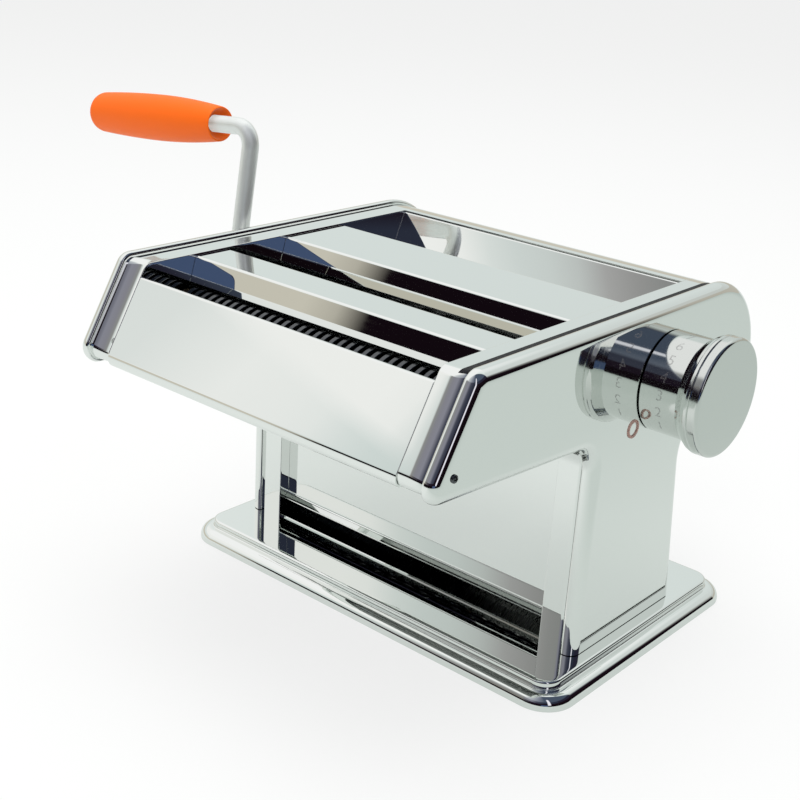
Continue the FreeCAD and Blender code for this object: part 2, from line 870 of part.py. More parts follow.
def carrier(left):
    """Block that carries one end of the adjustable roller and follows the dial's eccentric."""
    y, z = sheet_adjust_y, sheet_z
    start = carrier_start_left if left else carrier_start_right
    end = start + carrier_thickness
    floor = start + carrier_bearing_depth
    corners = [
        (y - carrier_half_width, z - carrier_half_height, carrier_round),
        (y + carrier_half_width, z - carrier_half_height, carrier_round),
        (y + carrier_half_width, z + carrier_half_height, carrier_round),
        (y - carrier_half_width, z + carrier_half_height, carrier_round),
    ]
    block = prism(corners, start, end)
    block = block.cut(bar(y, z, sleeve_radius + shaft_gap, start - 1, floor))
    half_y = eccentric_radius + eccentric_side_gap
    half_z = eccentric_radius + eccentric_offset + seat_gap
    yoke = [
        (y - half_y, z - half_z, 0), (y + half_y, z - half_z, 0),
        (y + half_y, z + half_z, 0), (y - half_y, z + half_z, 0),
    ]
    block = block.cut(prism(yoke, floor - 1, end + 1))
    for side in (-1, 1):
        slot_z = z + side * carrier_pin_offset
        run = sheet_travel / 2 + seat_gap
        slot = [
            (y - run - carrier_pin_radius, slot_z - carrier_pin_radius - shaft_gap, 0),
            (y + run + carrier_pin_radius, slot_z - carrier_pin_radius - shaft_gap, 0),
            (y + run + carrier_pin_radius, slot_z + carrier_pin_radius + shaft_gap, 0),
            (y - run - carrier_pin_radius, slot_z + carrier_pin_radius + shaft_gap, 0),
        ]
        block = block.cut(prism(slot, start - 1, end + 1))
    return mirrored(block) if left else block


def square(half, y, z):
    return [(y - half, z - half, 0), (y + half, z - half, 0), (y + half, z + half, 0), (y - half, z + half, 0)]


def carrier_pins():
    pins = []
    for left in (True, False):
        end = (carrier_start_left if left else carrier_start_right) + carrier_thickness + pin_head_gap
        for side in (-1, 1):
            z = sheet_z + side * carrier_pin_offset
            pin = prism(square(carrier_pin_radius, dial_y, z), web_outer, end)
            head = prism(square(pin_head_radius, dial_y, z), end, end + pin_head_thickness)
            pin = pin.fuse(head).removeSplitter()
            pins.append(mirrored(pin) if left else pin)
    return Part.makeCompound(pins)


def eccentric(start, end):
    """Eccentric journal of the dial shaft, at its angle for the widest gap."""
    angle = math.radians(180 + dial_start_lead)
    y = dial_y + eccentric_offset * math.cos(angle)
    z = sheet_z + eccentric_offset * math.sin(angle)
    return bar(y, z, eccentric_radius, start, end)


def flat_side(x_from, x_to, gap):
    """Block that cuts the drive flat above the dial shaft's axis."""
    size = 2 * cap_radius
    low = Vector(x_from, dial_y - size / 2, sheet_z + dial_flat_height + gap)
    return Part.makeBox(x_to - x_from, size, size, low)


def dial_shaft():
    left_yoke = carrier_start_left + carrier_bearing_depth
    left_end = carrier_start_left + carrier_thickness
    right_yoke = carrier_start_right + carrier_bearing_depth
    right_end = carrier_start_right + carrier_thickness
    parts = [
        bar(dial_y, sheet_z, dial_shaft_radius, -cover_inner + eccentric_gap, dial_shaft_tip),
        eccentric(-left_end + eccentric_gap, -left_yoke - eccentric_gap),
        eccentric(right_yoke + eccentric_gap, right_end - eccentric_gap),
    ]
    return fused(parts).cut(flat_side(cover_face + seat_gap, dial_shaft_tip + 1, 0))


def dial_washer():
    return ring(
        dial_y, sheet_z, washer_radius, dial_shaft_radius + gear_seat, washer_inner, washer_outer
    )


def dial_bearings():
    bore = dial_shaft_radius + shaft_gap
    outer = bore + dial_bearing_wall
    right = ring(dial_y, sheet_z, outer, bore, cover_face - dial_bearing_length, cover_face)
    left = ring(dial_y, sheet_z, outer, bore, -cover_inner, -cover_inner + dial_thrust_length)
    return Part.makeCompound([left, right])


def dimple_place(step):
    """Centre of one index dimple; the first one faces the peg."""
    angle = math.radians(225 - step * dial_range / (dial_steps - 1))
    return dial_y + dimple_circle * math.cos(angle), sheet_z + dimple_circle * math.sin(angle)


def dial_knob():
    """Barrel of the dial, sliding on the shaft, with the dimples of its settings at the back."""
    ledge = barrel_back + barrel_ledge
    barrel = turned(
        [
            (barrel_back, 0, 0),
            (barrel_back, barrel_radius, 0.6),
            (barrel_front, barrel_radius, 0),
            (barrel_front, spring_pocket_radius, 0),
            (ledge, spring_pocket_radius, 0),
            (ledge, 0, 0),
        ],
        dial_y, sheet_z,
    )
    bore = bar(dial_y, sheet_z, dial_shaft_radius + shaft_gap, barrel_back - 1, ledge + 1)
    bore = bore.cut(flat_side(barrel_back - 2, ledge + 2, shaft_gap))
    cuts = [bore]
    for step in range(dial_steps):
        y, z = dimple_place(step)
        cuts.append(hexagon_bar(y, z, dimple_radius, barrel_back - 1, barrel_back + dimple_depth))
    return barrel.cut(Part.makeCompound(cuts))


def dial_cap():
    return turned(
        [
            (barrel_front, cap_cavity_radius, 0),
            (barrel_front, barrel_radius, 0),
            (barrel_front + cap_flare, cap_radius, cap_round),
            (cap_face, cap_radius, cap_round),
            (cap_face, 0, 0),
            (cap_face - cap_wall, 0, 0),
            (cap_face - cap_wall, cap_cavity_radius, cap_round),
        ],
        dial_y, sheet_z,
    )


def knob_spring():
    """Spring that draws the knob towards the cover, between its ledge and the washer."""
    start = barrel_back + barrel_ledge + knob_spring_wire / 2
    length = washer_inner - knob_spring_wire / 2 - start
    steps = knob_spring_turns * knob_spring_sides
    sections = []
    for i in range(steps + 1):
        angle = 2 * math.pi * i / knob_spring_sides
        x = start + length * i / steps
        sections.append(Part.makePolygon([
            Vector(
                x + along * knob_spring_wire / 2,
                dial_y + (knob_spring_radius + across * knob_spring_wire / 2) * math.cos(angle),
                sheet_z + (knob_spring_radius + across * knob_spring_wire / 2) * math.sin(angle),
            )
            for along, across in ((-1, -1), (1, -1), (1, 1), (-1, 1), (-1, -1))
        ]))
    return Part.makeLoft(sections, True, True)


def index_peg():
    y, z = dimple_place(0)
    return turned(
        [
            (cover_inner, 0, 0),
            (cover_inner, peg_radius, 0),
            (barrel_back - peg_gap, peg_radius, peg_gap),
            (barrel_back - peg_gap, 0, 0),
        ],
        y, z,
    )


def index_mark():
    return ring(mark_y, mark_z, mark_radius, mark_radius - mark_line, cover_face, cover_face + mark_thickness)


def socket_rings():
    rings = []
    bore = socket_shaft_radius + socket_ring_gap
    for y, z in socket_places:
        rings.append(turned(
            [
                (-cover_face - socket_ring_thickness, bore, 0),
                (-cover_face - socket_ring_thickness, socket_ring_radius, 0.8),
                (-cover_face, socket_ring_radius, 0),
                (-cover_face, socket_collar_radius, 0),
                (-cover_face + socket_collar_length, socket_collar_radius, 0),
                (-cover_face + socket_collar_length, bore, 0),
            ],
            y, z,
        ))
    return Part.makeCompound(rings)


def crank_points():
    lean, droop = math.radians(crank_lean), math.radians(crank_droop)
    inner = Vector(-socket_end + crank_insertion, wide_rear_y, cutter_z)
    elbow = Vector(crank_arm_x, wide_rear_y, cutter_z)
    top = elbow + Vector(0, math.sin(lean), math.cos(lean)) * crank_arm_length
    outward = Vector(-math.cos(droop), 0, -math.sin(droop))
    return inner, elbow, top, outward


def bent_path(points, radius):
    """Wire of straight runs with tangent arcs of one radius at the inner points."""
    edges = []
    last = points[0]
    for i in range(1, len(points) - 1):
        back = (points[i - 1] - points[i]).normalize()
        on = (points[i + 1] - points[i]).normalize()
        half = back.getAngle(on) / 2
        reach = radius / math.tan(half)
        start, finish = points[i] + back * reach, points[i] + on * reach
        crown = points[i] + (back + on).normalize() * (radius / math.sin(half) - radius)
        edges.append(Part.makeLine(last, start))
        edges.append(Part.Arc(start, crown, finish).toShape())
        last = finish
    edges.append(Part.makeLine(last, points[-1]))
    return Part.Wire(edges)


def crank_rod():
    inner, elbow, top, outward = crank_points()
    tip = top + outward * (grip_start + grip_length - grip_end_wall - seat_gap)
    path = bent_path([inner, elbow, top, tip], crank_bend)
    circle = Part.Wire(Part.makeCircle(crank_rod_radius, inner, Vector(-1, 0, 0)))
    return path.makePipeShell([circle], True, False)


def grip_radius(x):
    """Radius of the grip at a distance from its neck: a full belly, then a rounded end."""
    if x <= grip_belly_place:
        share = 1 - (1 - x / grip_belly_place) ** 2
        return grip_neck_radius + (grip_belly_radius - grip_neck_radius) * share
    share = (x - grip_belly_place) / (grip_length - grip_belly_place)
    radius = grip_belly_radius - (grip_belly_radius - grip_end_radius) * share ** 2
    nose = max(0.0, x - (grip_length - grip_nose))
    return radius * math.sqrt(max(0.0, 1 - (nose / grip_nose) ** 2))


def crank_grip():
    """Turned grip with a recess at its neck and a blind bore for the rod."""
    bore = crank_rod_radius + shaft_gap
    hole_end = grip_length - grip_end_wall
    body = [grip_belly_place * i / grip_steps for i in range(grip_steps)]
    rear = grip_length - grip_nose
    body += [grip_belly_place + (rear - grip_belly_place) * i / grip_steps for i in range(grip_steps)]
    body += [rear + grip_nose * math.sin(math.pi / 2 * i / grip_steps) for i in range(grip_steps)]
    profile = [(x, grip_radius(x), 0) for x in body]
    profile += [
        (grip_length, 0, 0), (hole_end, 0, 0), (hole_end, bore, 0), (grip_recess_depth, bore, 0),
        (grip_recess_depth, grip_recess_radius, 0), (0, grip_recess_radius, 0),
    ]
    grip = turned(profile, 0, 0)
    inner, elbow, top, outward = crank_points()
    grip.rotate(Vector(0, 0, 0), Vector(0, 0, 1), 180)
    grip.rotate(Vector(0, 0, 0), Vector(0, 1, 0), -crank_droop)
    grip.translate(top + outward * grip_start)
    return grip


pieces = {
    "base_pan": base_pan(),
    "base_feet": base_feet(),
    "base_screws": base_screws(),
    "side_frame_left": side_frame(True),
    "side_frame_right": side_frame(False),
    "side_cover_left": side_cover(True),
    "side_cover_right": side_cover(False),
    "cover_posts": cover_posts(),
    "cover_screws": cover_screws(),
    "tie_rods": tie_rods(),
    "tie_rod_screws": tie_rod_screws(),
    "shaft_bushes": shaft_bushes(),
    "front_cover": front_cover(),
    "front_panel": front_panel(),
    "back_cover": back_cover(),
    "hopper_panel": hopper_panel(),
    "guide_plate_front": guide_plate(front_guide_start_y, front_guide_end_y, front_guide_back_z),
    "guide_plate_rear": guide_plate(rear_guide_start_y, rear_guide_end_y, rear_guide_back_z),
    "outfeed_chute": outfeed_chute(),
    "fine_cutter_drive": cutter(fine_rear_y, fine_ring, fine_count, False),
    "fine_cutter_follow": cutter(fine_front_y, fine_ring, fine_count, True),
    "fine_comb_front": comb(fine_front_y, -1, fine_ring, fine_count, True),
    "fine_comb_rear": comb(fine_rear_y, 1, fine_ring, fine_count, False),
    "wide_cutter_drive": cutter(wide_rear_y, wide_ring, wide_count, False),
    "wide_cutter_follow": cutter(wide_front_y, wide_ring, wide_count, True),
    "wide_comb_front": comb(wide_front_y, -1, wide_ring, wide_count, True),
    "wide_comb_rear": comb(wide_rear_y, 1, wide_ring, wide_count, False),
    "sheet_roller_drive": sheet_roller_drive(),
    "sheet_roller_adjust": sheet_roller_adjust(),
    "sheet_scrapers": sheet_scrapers(),
    "fine_gear_drive": gear(
        fine_rear_y, cutter_z, cutter_module, socket_shaft_radius + gear_seat, 0
    ),
    "fine_gear_follow": gear(
        fine_front_y, cutter_z, cutter_module, shaft_radius + gear_seat, half_step()
    ),
    "wide_gear_drive": gear(
        wide_rear_y, cutter_z, cutter_module, socket_shaft_radius + gear_seat, 0
    ),
    "wide_gear_follow": gear(
        wide_front_y, cutter_z, cutter_module, shaft_radius + gear_seat, half_step()
    ),
    "sheet_gear_drive": gear(
        sheet_drive_y, sheet_z, sheet_module, socket_shaft_radius + gear_seat, 0
    ),
    "sheet_gear_adjust": gear(
        sheet_adjust_y, sheet_z, sheet_module, sleeve_radius + gear_seat, half_step()
    ),
    "carrier_left": carrier(True),
    "carrier_right": carrier(False),
    "carrier_pins": carrier_pins(),
    "dial_shaft": dial_shaft(),
    "dial_washer": dial_washer(),
    "dial_bearings": dial_bearings(),
    "dial_knob": dial_knob(),
    "dial_cap": dial_cap(),
    "knob_spring": knob_spring(),
    "index_peg": index_peg(),
    "index_mark": index_mark(),
    "socket_rings": socket_rings(),
    "crank_rod": crank_rod(),
    "crank_grip": crank_grip(),
}

os.makedirs("parts", exist_ok=True)
for name, shape in pieces.items():
    shape.exportStep("parts/" + name + ".step")
    print(name, len(shape.Solids), shape.isValid(), round(shape.Volume))
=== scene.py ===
"""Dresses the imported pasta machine: chromed skins with their rounded beads, round cutting rings,
a turned dial with its numbers and a moulded grip, in a pale studio at the photograph's angle."""

import json
import math

import bmesh
import bpy
from bpy.props import FloatProperty, FloatVectorProperty, IntProperty, PointerProperty
from bpy.types import Operator, Panel, PropertyGroup
from mathutils import Matrix, Vector


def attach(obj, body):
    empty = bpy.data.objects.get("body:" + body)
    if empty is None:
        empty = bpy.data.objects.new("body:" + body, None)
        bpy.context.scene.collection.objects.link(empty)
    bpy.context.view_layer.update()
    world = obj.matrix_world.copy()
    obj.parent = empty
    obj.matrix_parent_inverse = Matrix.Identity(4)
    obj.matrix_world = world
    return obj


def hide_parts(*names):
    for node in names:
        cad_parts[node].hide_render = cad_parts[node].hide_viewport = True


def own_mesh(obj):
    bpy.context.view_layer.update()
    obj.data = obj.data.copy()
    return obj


bl_info = {
    "name": "Pasta machine",
    "version": (1, 0, 0),
    "blender": (4, 5, 0),
    "location": "3D View > Sidebar > Pasta machine",
    "description": "Visible pieces, finishes and studio of a hand-cranked pasta machine",
    "category": "Object",
}

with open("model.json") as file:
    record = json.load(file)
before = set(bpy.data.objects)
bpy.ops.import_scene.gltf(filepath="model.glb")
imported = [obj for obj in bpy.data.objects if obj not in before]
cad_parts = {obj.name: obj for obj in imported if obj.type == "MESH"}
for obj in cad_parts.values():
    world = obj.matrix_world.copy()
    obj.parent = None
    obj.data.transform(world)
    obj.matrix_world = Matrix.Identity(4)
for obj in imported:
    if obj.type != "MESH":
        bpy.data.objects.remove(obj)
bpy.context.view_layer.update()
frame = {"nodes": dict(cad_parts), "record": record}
MM = 0.001

# Sizes of the source that the pieces here share: millimetres, slopes in radians, and the dial's
# angles in degrees
WEB_INNER = 79.0
WEB_OUTER = 80.2
FLANGE_EDGE = 90.0
FLANGE_GAUGE = 1.2
BEAD_START = 91.0
COVER_FACE = 97.5
BASE_TOP_Z = 10.0
COVER_FOOT_Z = 10.3
SHEET_GAUGE = 0.8
BASE_HALF_X, BASE_HALF_Y, BASE_CORNER = 109.5, 73.5, 15.0
SLANT = math.radians(29.9)
FRONT_TOP_Y, FRONT_TOP_Z = -124.5, 150.0
FRONT_LOW_Z = 113.35
UNDERSIDE_TILT = math.radians(3.3)
LEG_FRONT_Y, LEG_REAR_Y = -41.0, 35.5
LEG_TILT = math.radians(7.25)
HEAD_REAR_Y, HEAD_REAR_Z = 82.0, 102.0
HEAD_TOP_Z = 154.0
GUIDE_TOP_Z = 153.0
CUTTER_Z = 130.0
FINE_Y = (-119.5, -99.0)
WIDE_Y = (-66.3, -45.8)
ROLLER_HALF = 76.3
RING_RADIUS, RING_BORE, RING_GAP = 10.75, 7.3, 0.1
SHEET_Z = 123.0
SHEET_DRIVE_Y = 33.5
DIAL_Y = 4.5
SOCKETS = ((FINE_Y[1], CUTTER_Z), (WIDE_Y[1], CUTTER_Z), (SHEET_DRIVE_Y, SHEET_Z))
JOURNALS = ((FINE_Y[0], CUTTER_Z), (WIDE_Y[0], CUTTER_Z))
SOCKET_HOLE, SOCKET_BUSH_HOLE, BUSH_HOLE = 8.0, 8.5, 7.0
SHAFT_HOLE, PEG_HOLE, TIE_ROD_HOLE = 7.05, 2.0, 2.0
BARREL_RADIUS = 21.5
BARREL_FRONT = 114.5
BARREL_BACK = BARREL_FRONT - 16.0
BARREL_LEDGE = BARREL_BACK + 5.0
BARREL_BORE, SPRING_POCKET = 4.05, 8.6
CAP_FACE = 126.0
SETTINGS, FIRST_SETTING, SETTING_STEP = 9, 225, 20
DIMPLE_CIRCLE, DIMPLE_RADIUS, DIMPLE_DEPTH = 16.0, 2.4, 2.0
SPRING_RADIUS = 6.2
# The spring's wire is drawn 0.02 mm slimmer in radius than the source's
SPRING_WIRE_RADIUS = 0.48
SPRING_TURNS = 4
SPRING_START = 104.0
SPRING_LENGTH = 8.1
TIE_RODS = ((-134.2, 121.0), (-82.9, 121.5), (-22.0, 143.0), (60.0, 117.0), (19.0, 22.0))
COVER_SCREW = (-134.2, 121.0)
FEET = ((-90.0, -56.0), (90.0, -56.0), (-90.0, 56.0), (90.0, 56.0))
CRANK_ELBOW = Vector((-108.0, -45.8, 130.0))
CRANK_LEAN = math.radians(7.9)
CRANK_DROOP = math.radians(4.8)
CRANK_ARM = 68.4
GRIP_START = 22.0
GRIP_LENGTH = 92.0
GRIP_BELLY_PLACE = 46.0
GRIP_NECK, GRIP_BELLY, GRIP_TAPER, GRIP_BORE = 8.15, 11.15, 1.6, 4.05

# The dial's numbers, which only the scene has: the first one's angle in degrees, their X place and
# how far their ink stands off the barrel
FIRST_NUMERAL, NUMERAL_X, NUMERAL_FILM = 216.4, 107.0, 0.03

# The camera that fits the photograph's straight edges: its angles, its place in metres, its focal
# length and image width in pixels, and its sensor's width in millimetres
CAMERA_YAW, CAMERA_PITCH, CAMERA_ROLL = math.radians(39.74), math.radians(21.30), math.radians(3.60)
CAMERA_PLACE = (0.3419, -0.4592, 0.3066)
FOCAL_PIXELS, IMAGE_PIXELS, SENSOR_WIDTH = 1324, 800, 36

# Signs of a rectangle's corners, counterclockwise
CORNERS = ((-1, -1), (1, -1), (1, 1), (-1, 1))

# Side outline: corners (y, z, radius) from the front foot, counterclockwise. Sides are numbered
# by the corner they start from: 0 foot, 1 to 3 rear, 4 top, 5 slanted front, 6 underside, 7 leg.
SLANT_SIDE = 5
OUTLINE_STEPS = (0, 0, 14, 14, 28, 10, 12, 14)


def front_y(z):
    """Y of the slanted front at a height."""
    return FRONT_TOP_Y - math.tan(SLANT) * (FRONT_TOP_Z - z)


def underside_z(y):
    """Height of the head's underside at a Y."""
    return FRONT_LOW_Z - math.tan(UNDERSIDE_TILT) * (y - front_y(FRONT_LOW_Z))


def leg_rear_y(z):
    """Y of the leg's rear at a height."""
    return LEG_REAR_Y - math.tan(LEG_TILT) * (z - BASE_TOP_Z)


def side_outline(foot_z):
    """Corners of the side outline above a foot at this height."""
    return (
        (LEG_FRONT_Y, foot_z, 0), (leg_rear_y(foot_z), foot_z, 0),
        (leg_rear_y(HEAD_REAR_Z), HEAD_REAR_Z, 20.0), (HEAD_REAR_Y, HEAD_REAR_Z, 14.0),
        (HEAD_REAR_Y, HEAD_TOP_Z, 38.0), (front_y(HEAD_TOP_Z), HEAD_TOP_Z, 5.0),
        (front_y(FRONT_LOW_Z), FRONT_LOW_Z, 5.0), (LEG_FRONT_Y, underside_z(LEG_FRONT_Y), 14.0),
    )


def setting_place(step):
    """Place (y, z) of the dimple of one of the dial's settings."""
    angle = math.radians(FIRST_SETTING - SETTING_STEP * step)
    return DIAL_Y + DIMPLE_CIRCLE * math.cos(angle), SHEET_Z + DIMPLE_CIRCLE * math.sin(angle)


def hex_colour(code):
    """Linear colour of an sRGB hex value."""
    channels = [int(code[i:i + 2], 16) / 255 for i in (1, 3, 5)]
    linear = [c / 12.92 if c <= 0.04045 else ((c + 0.055) / 1.055) ** 2.4 for c in channels]
    return (*linear, 1.0)


def colour(code, name, description):
    """Setting for a colour that a user may change."""
    return FloatVectorProperty(
        name=name, description=description, default=hex_colour(code)[:3], subtype="COLOR", size=3,
        min=0.0, max=1.0,
    )


class MachineSizes(PropertyGroup):
    """Sizes of the dressed pieces that a user may change."""
    edge_break: FloatProperty(
        name="Edge break", description="Rounding of the sheet metal's cut edges",
        default=0.2 * MM, unit="LENGTH", min=0.05 * MM, max=0.35 * MM,
    )
    ring_sides: IntProperty(
        name="Ring sides", description="Sides of each cutting ring's circle",
        default=40, min=12, max=96,
    )
    barrel_gap: FloatProperty(
        name="Barrel gap", description="Gap between the side cover and the skirt of the dial's barrel",
        default=0.5 * MM, unit="LENGTH", min=0.3 * MM, max=1.0 * MM,
    )
    numeral_height: FloatProperty(
        name="Numeral height", description="Height of the numbers round the dial",
        default=4.6 * MM, unit="LENGTH", min=2 * MM, max=7 * MM,
    )
    screw_dome: FloatProperty(
        name="Screw dome", description="Rise of the cover screws' heads",
        default=1.1 * MM, unit="LENGTH", min=0.4 * MM, max=1.1 * MM,
    )
    flange_roll: FloatProperty(
        name="Flange roll", description="Slope of the frames' front flanges at their edges",
        default=math.radians(30), subtype="ANGLE", min=0.0, max=math.radians(35),
    )


class MachineColours(PropertyGroup):
    """Colours of the finishes."""
    chrome: colour("#EEF0EE", "Chrome", "Polished nickel-chrome plate on sheet steel")
    turned: colour("#DADDDA", "Turned chrome", "Turned and plated brass of the dial")
    satin: colour("#E9ECEA", "Satin plate", "Satin nickel plate of the crank's rod")
    steel: colour("#A9ACA9", "Roller steel", "Ground steel of the smooth rollers")
    # The cutter colour is painted shade: darker than the roller steel for the shade among the rings
    cutter: colour("#5E6063", "Cutter steel", "Hardened steel of the cutting rings and screws")
    # The seam colour is painted shade, laid on faces in the grooves beside the beads
    seam: colour("#1B1A20", "Seam", "Unpolished steel deep in the seams")
    bronze: colour("#6F5F4A", "Bushes", "Sintered bronze of the bushes")
    grip: colour("#FF6C00", "Grip", "Moulded plastic of the crank's grip")
    rubber: colour("#26272A", "Feet", "Rubber of the feet")
    numerals: colour("#8E8A8C", "Numerals", "Ink of the dial's numbers")
    mark: colour("#C39A8E", "Index mark", "Ink of the mark beside the dial")


def add(tree, kind, sockets=None, **settings):
    """Adds a node with its settings; each socket takes a value or a link from an output."""
    node = tree.nodes.new(kind)
    for name, value in settings.items():
        if name != "stops":
            setattr(node, name, value)
            continue
        ramp = node.color_ramp
        ramp.elements.remove(ramp.elements[0])
        ramp.elements[0].position, ramp.elements[0].color = value[-1][0], hex_colour(value[-1][1])
        for place, code in value[:-1]:
            ramp.elements.new(place).color = hex_colour(code)
    for name, value in (sockets or {}).items():
        if isinstance(value, bpy.types.NodeSocket):
            tree.links.new(value, node.inputs[name])
        else:
            node.inputs[name].default_value = value
    return node


def start_material(name, base, **sockets):
    """New material with its shader's constant sockets set; returns it, its tree, its shader and the
    object's coordinates."""
    material = bpy.data.materials.new(name)
    material.use_nodes = True
    tree = material.node_tree
    shader = tree.nodes["Principled BSDF"]
    shader.inputs["Base Color"].default_value = (*base[:3], 1.0)
    for socket, value in sockets.items():
        shader.inputs[socket.replace("_", " ")].default_value = value
    return material, tree, shader, add(tree, "ShaderNodeTexCoord").outputs["Object"]


def polished_chrome(colours):
    """Sheet steel, buffed and nickel-chrome plated: a mirror whose reflections bend a little with
    the sheet's 45 mm waves, and whose gloss softens along fine wiping marks."""
    material, tree, shader, place = start_material(
        "Nickel-chrome plated steel, buffed", colours.chrome, Metallic=1.0,
    )
    waves = add(tree, "ShaderNodeTexNoise", {"Vector": place, "Scale": 22.0, "Detail": 1.0})
    bump = add(tree, "ShaderNodeBump", {"Height": waves.outputs["Fac"], "Strength": 0.3, "Distance": 0.00005})
    along = add(tree, "ShaderNodeMapping", {"Vector": place, "Scale": (60.0, 900.0, 900.0)})
    wiping = add(tree, "ShaderNodeTexNoise", {"Vector": along.outputs["Vector"], "Scale": 1.0, "Detail": 3.0})
    gloss = add(tree, "ShaderNodeMapRange", {
        "Value": wiping.outputs["Fac"], "From Min": 0.35, "From Max": 0.75, "To Min": 0.012, "To Max": 0.035,
    })
    tree.links.new(gloss.outputs["Result"], shader.inputs["Roughness"])
    tree.links.new(bump.outputs["Normal"], shader.inputs["Normal"])
    return material


def turned_chrome(colours):
    """Brass turned on a lathe and chrome plated: faint tool rings round the dial's axis, 0.6 mm apart
    as drawn, coarser than the real 0.1 mm so that they show, dull the mirror a little."""
    material, tree, shader, place = start_material(
        "Turned brass, chrome plated", colours.turned, Metallic=1.0,
    )
    flat = add(tree, "ShaderNodeMapping", {
        "Vector": place, "Location": (0.0, -DIAL_Y * MM, -SHEET_Z * MM), "Scale": (0.0, 1.0, 1.0),
    })
    out = add(tree, "ShaderNodeVectorMath", {0: flat.outputs["Vector"]}, operation="LENGTH")
    rings = add(tree, "ShaderNodeTexNoise", {
        "W": out.outputs["Value"], "Scale": 1700.0, "Detail": 2.0,
    }, noise_dimensions="1D")
    gloss = add(tree, "ShaderNodeMapRange", {
        "Value": rings.outputs["Fac"], "From Min": 0.3, "From Max": 0.7, "To Min": 0.05, "To Max": 0.14,
    })
    tree.links.new(gloss.outputs["Result"], shader.inputs["Roughness"])
    return material


def satin_plate(colours):
    """Bright-drawn rod, brushed and nickel plated: long draw lines 0.5 mm apart as drawn, coarser
    than the real ones so that they show, spread the reflections into a pale sheen."""
    material, tree, shader, place = start_material("Satin nickel plated rod", colours.satin, Metallic=0.65)
    drawn = add(tree, "ShaderNodeMapping", {"Vector": place, "Scale": (300.0, 2000.0, 60.0)})
    lines = add(tree, "ShaderNodeTexNoise", {"Vector": drawn.outputs["Vector"], "Scale": 1.0, "Detail": 2.0})
    gloss = add(tree, "ShaderNodeMapRange", {"Value": lines.outputs["Fac"], "To Min": 0.3, "To Max": 0.48})
    tree.links.new(gloss.outputs["Result"], shader.inputs["Roughness"])
    return material


def ground(name, base):
    """Steel ground on centres: fine rings round the axis, 0.8 mm apart as drawn, coarser than the
    real 0.05 mm so that they show, stretch each highlight along the roller."""
    material, tree, shader, place = start_material(name, base, Metallic=1.0)
    rings = add(tree, "ShaderNodeMapping", {"Vector": place, "Scale": (1250.0, 40.0, 40.0)})
    lines = add(tree, "ShaderNodeTexNoise", {"Vector": rings.outputs["Vector"], "Scale": 1.0, "Detail": 4.0})
    gloss = add(tree, "ShaderNodeMapRange", {"Value": lines.outputs["Fac"], "To Min": 0.16, "To Max": 0.4})
    bump = add(tree, "ShaderNodeBump", {"Height": lines.outputs["Fac"], "Strength": 0.3, "Distance": 0.00002})
    tree.links.new(gloss.outputs["Result"], shader.inputs["Roughness"])
    tree.links.new(bump.outputs["Normal"], shader.inputs["Normal"])
    return material


def roller_steel(colours):
    """Plain steel of the smooth rollers, gears and rods, bright from the grinding."""
    return ground("Ground roller steel", colours.steel)


def shade_darkened_cutter_steel(colours):
    """Hardened steel of the rings and screws, its colour painted dark as the shade that falls among the
    close-set rings.
    """
    return ground("Hardened cutter steel, ground", colours.cutter)


def painted_seam_shade(colours):
    """Painted shade inside a seam: a dark metal colour laid where the groove lies in shade, its gloss patchy
    as if the mop left polishing paste there.
    """
    material, tree, shader, place = start_material("Painted shade in a seam", colours.seam, Metallic=0.6)
    paste = add(tree, "ShaderNodeTexNoise", {"Vector": place, "Scale": 500.0, "Detail": 3.0})
    gloss = add(tree, "ShaderNodeMapRange", {"Value": paste.outputs["Fac"], "To Min": 0.35, "To Max": 0.7})
    tree.links.new(gloss.outputs["Result"], shader.inputs["Roughness"])
    return material


def sintered_bronze(colours):
    """Pressed and sintered bronze: matt brown metal with oil-dark pores half a millimetre apart."""
    material, tree, shader, place = start_material(
        "Sintered bronze", colours.bronze, Metallic=1.0, Roughness=0.5,
    )
    pores = add(tree, "ShaderNodeTexNoise", {"Vector": place, "Scale": 2000.0, "Detail": 2.0})
    bump = add(tree, "ShaderNodeBump", {"Height": pores.outputs["Fac"], "Strength": 0.4, "Distance": 0.00005})
    tree.links.new(bump.outputs["Normal"], shader.inputs["Normal"])
    return material


def moulded_grip(colours):
    """Polypropylene from a spark-eroded mould: satin, with a soft 0.6 mm grain that breaks up the
    highlight, and light that goes a little way into the plastic."""
    material, tree, shader, place = start_material(
        "Moulded polypropylene, orange", colours.grip, Roughness=0.5, Specular_IOR_Level=0.3,
        Subsurface_Weight=0.03, Subsurface_Radius=(0.004, 0.0015, 0.0006), Subsurface_Scale=1.0,
    )
    grain = add(tree, "ShaderNodeTexNoise", {"Vector": place, "Scale": 1600.0, "Detail": 2.0})
    bump = add(tree, "ShaderNodeBump", {
        "Height": grain.outputs["Fac"], "Strength": 0.12, "Distance": 0.00006,
    })
    tree.links.new(bump.outputs["Normal"], shader.inputs["Normal"])
    return material


def foot_rubber(colours):
    """Moulded nitrile rubber: dark and matt, with pale dust in patches of a few millimetres."""
    material, tree, shader, place = start_material("Moulded rubber", colours.rubber, Roughness=0.8)
    dust = add(tree, "ShaderNodeTexNoise", {"Vector": place, "Scale": 300.0, "Detail": 3.0})
    tint = add(tree, "ShaderNodeValToRGB", {"Fac": dust.outputs["Fac"]}, stops=(
        (0.4, "#1E1F22"), (0.8, "#3A3C40"),
    ))
    tree.links.new(tint.outputs["Color"], shader.inputs["Base Color"])
    return material


def printed_ink(name, base, thinnest, fullest):
    """Pad-printed ink: a thin film that the chrome shows through, worn where fingers turn the dial."""
    material, tree, shader, place = start_material(name, base, Roughness=0.5)
    wear = add(tree, "ShaderNodeTexNoise", {"Vector": place, "Scale": 900.0, "Detail": 3.0})
    cover = add(tree, "ShaderNodeMapRange", {
        "Value": wear.outputs["Fac"], "From Min": 0.3, "From Max": 0.6, "To Min": thinnest, "To Max": fullest,
    })
    tree.links.new(cover.outputs["Result"], shader.inputs["Alpha"])
    return material


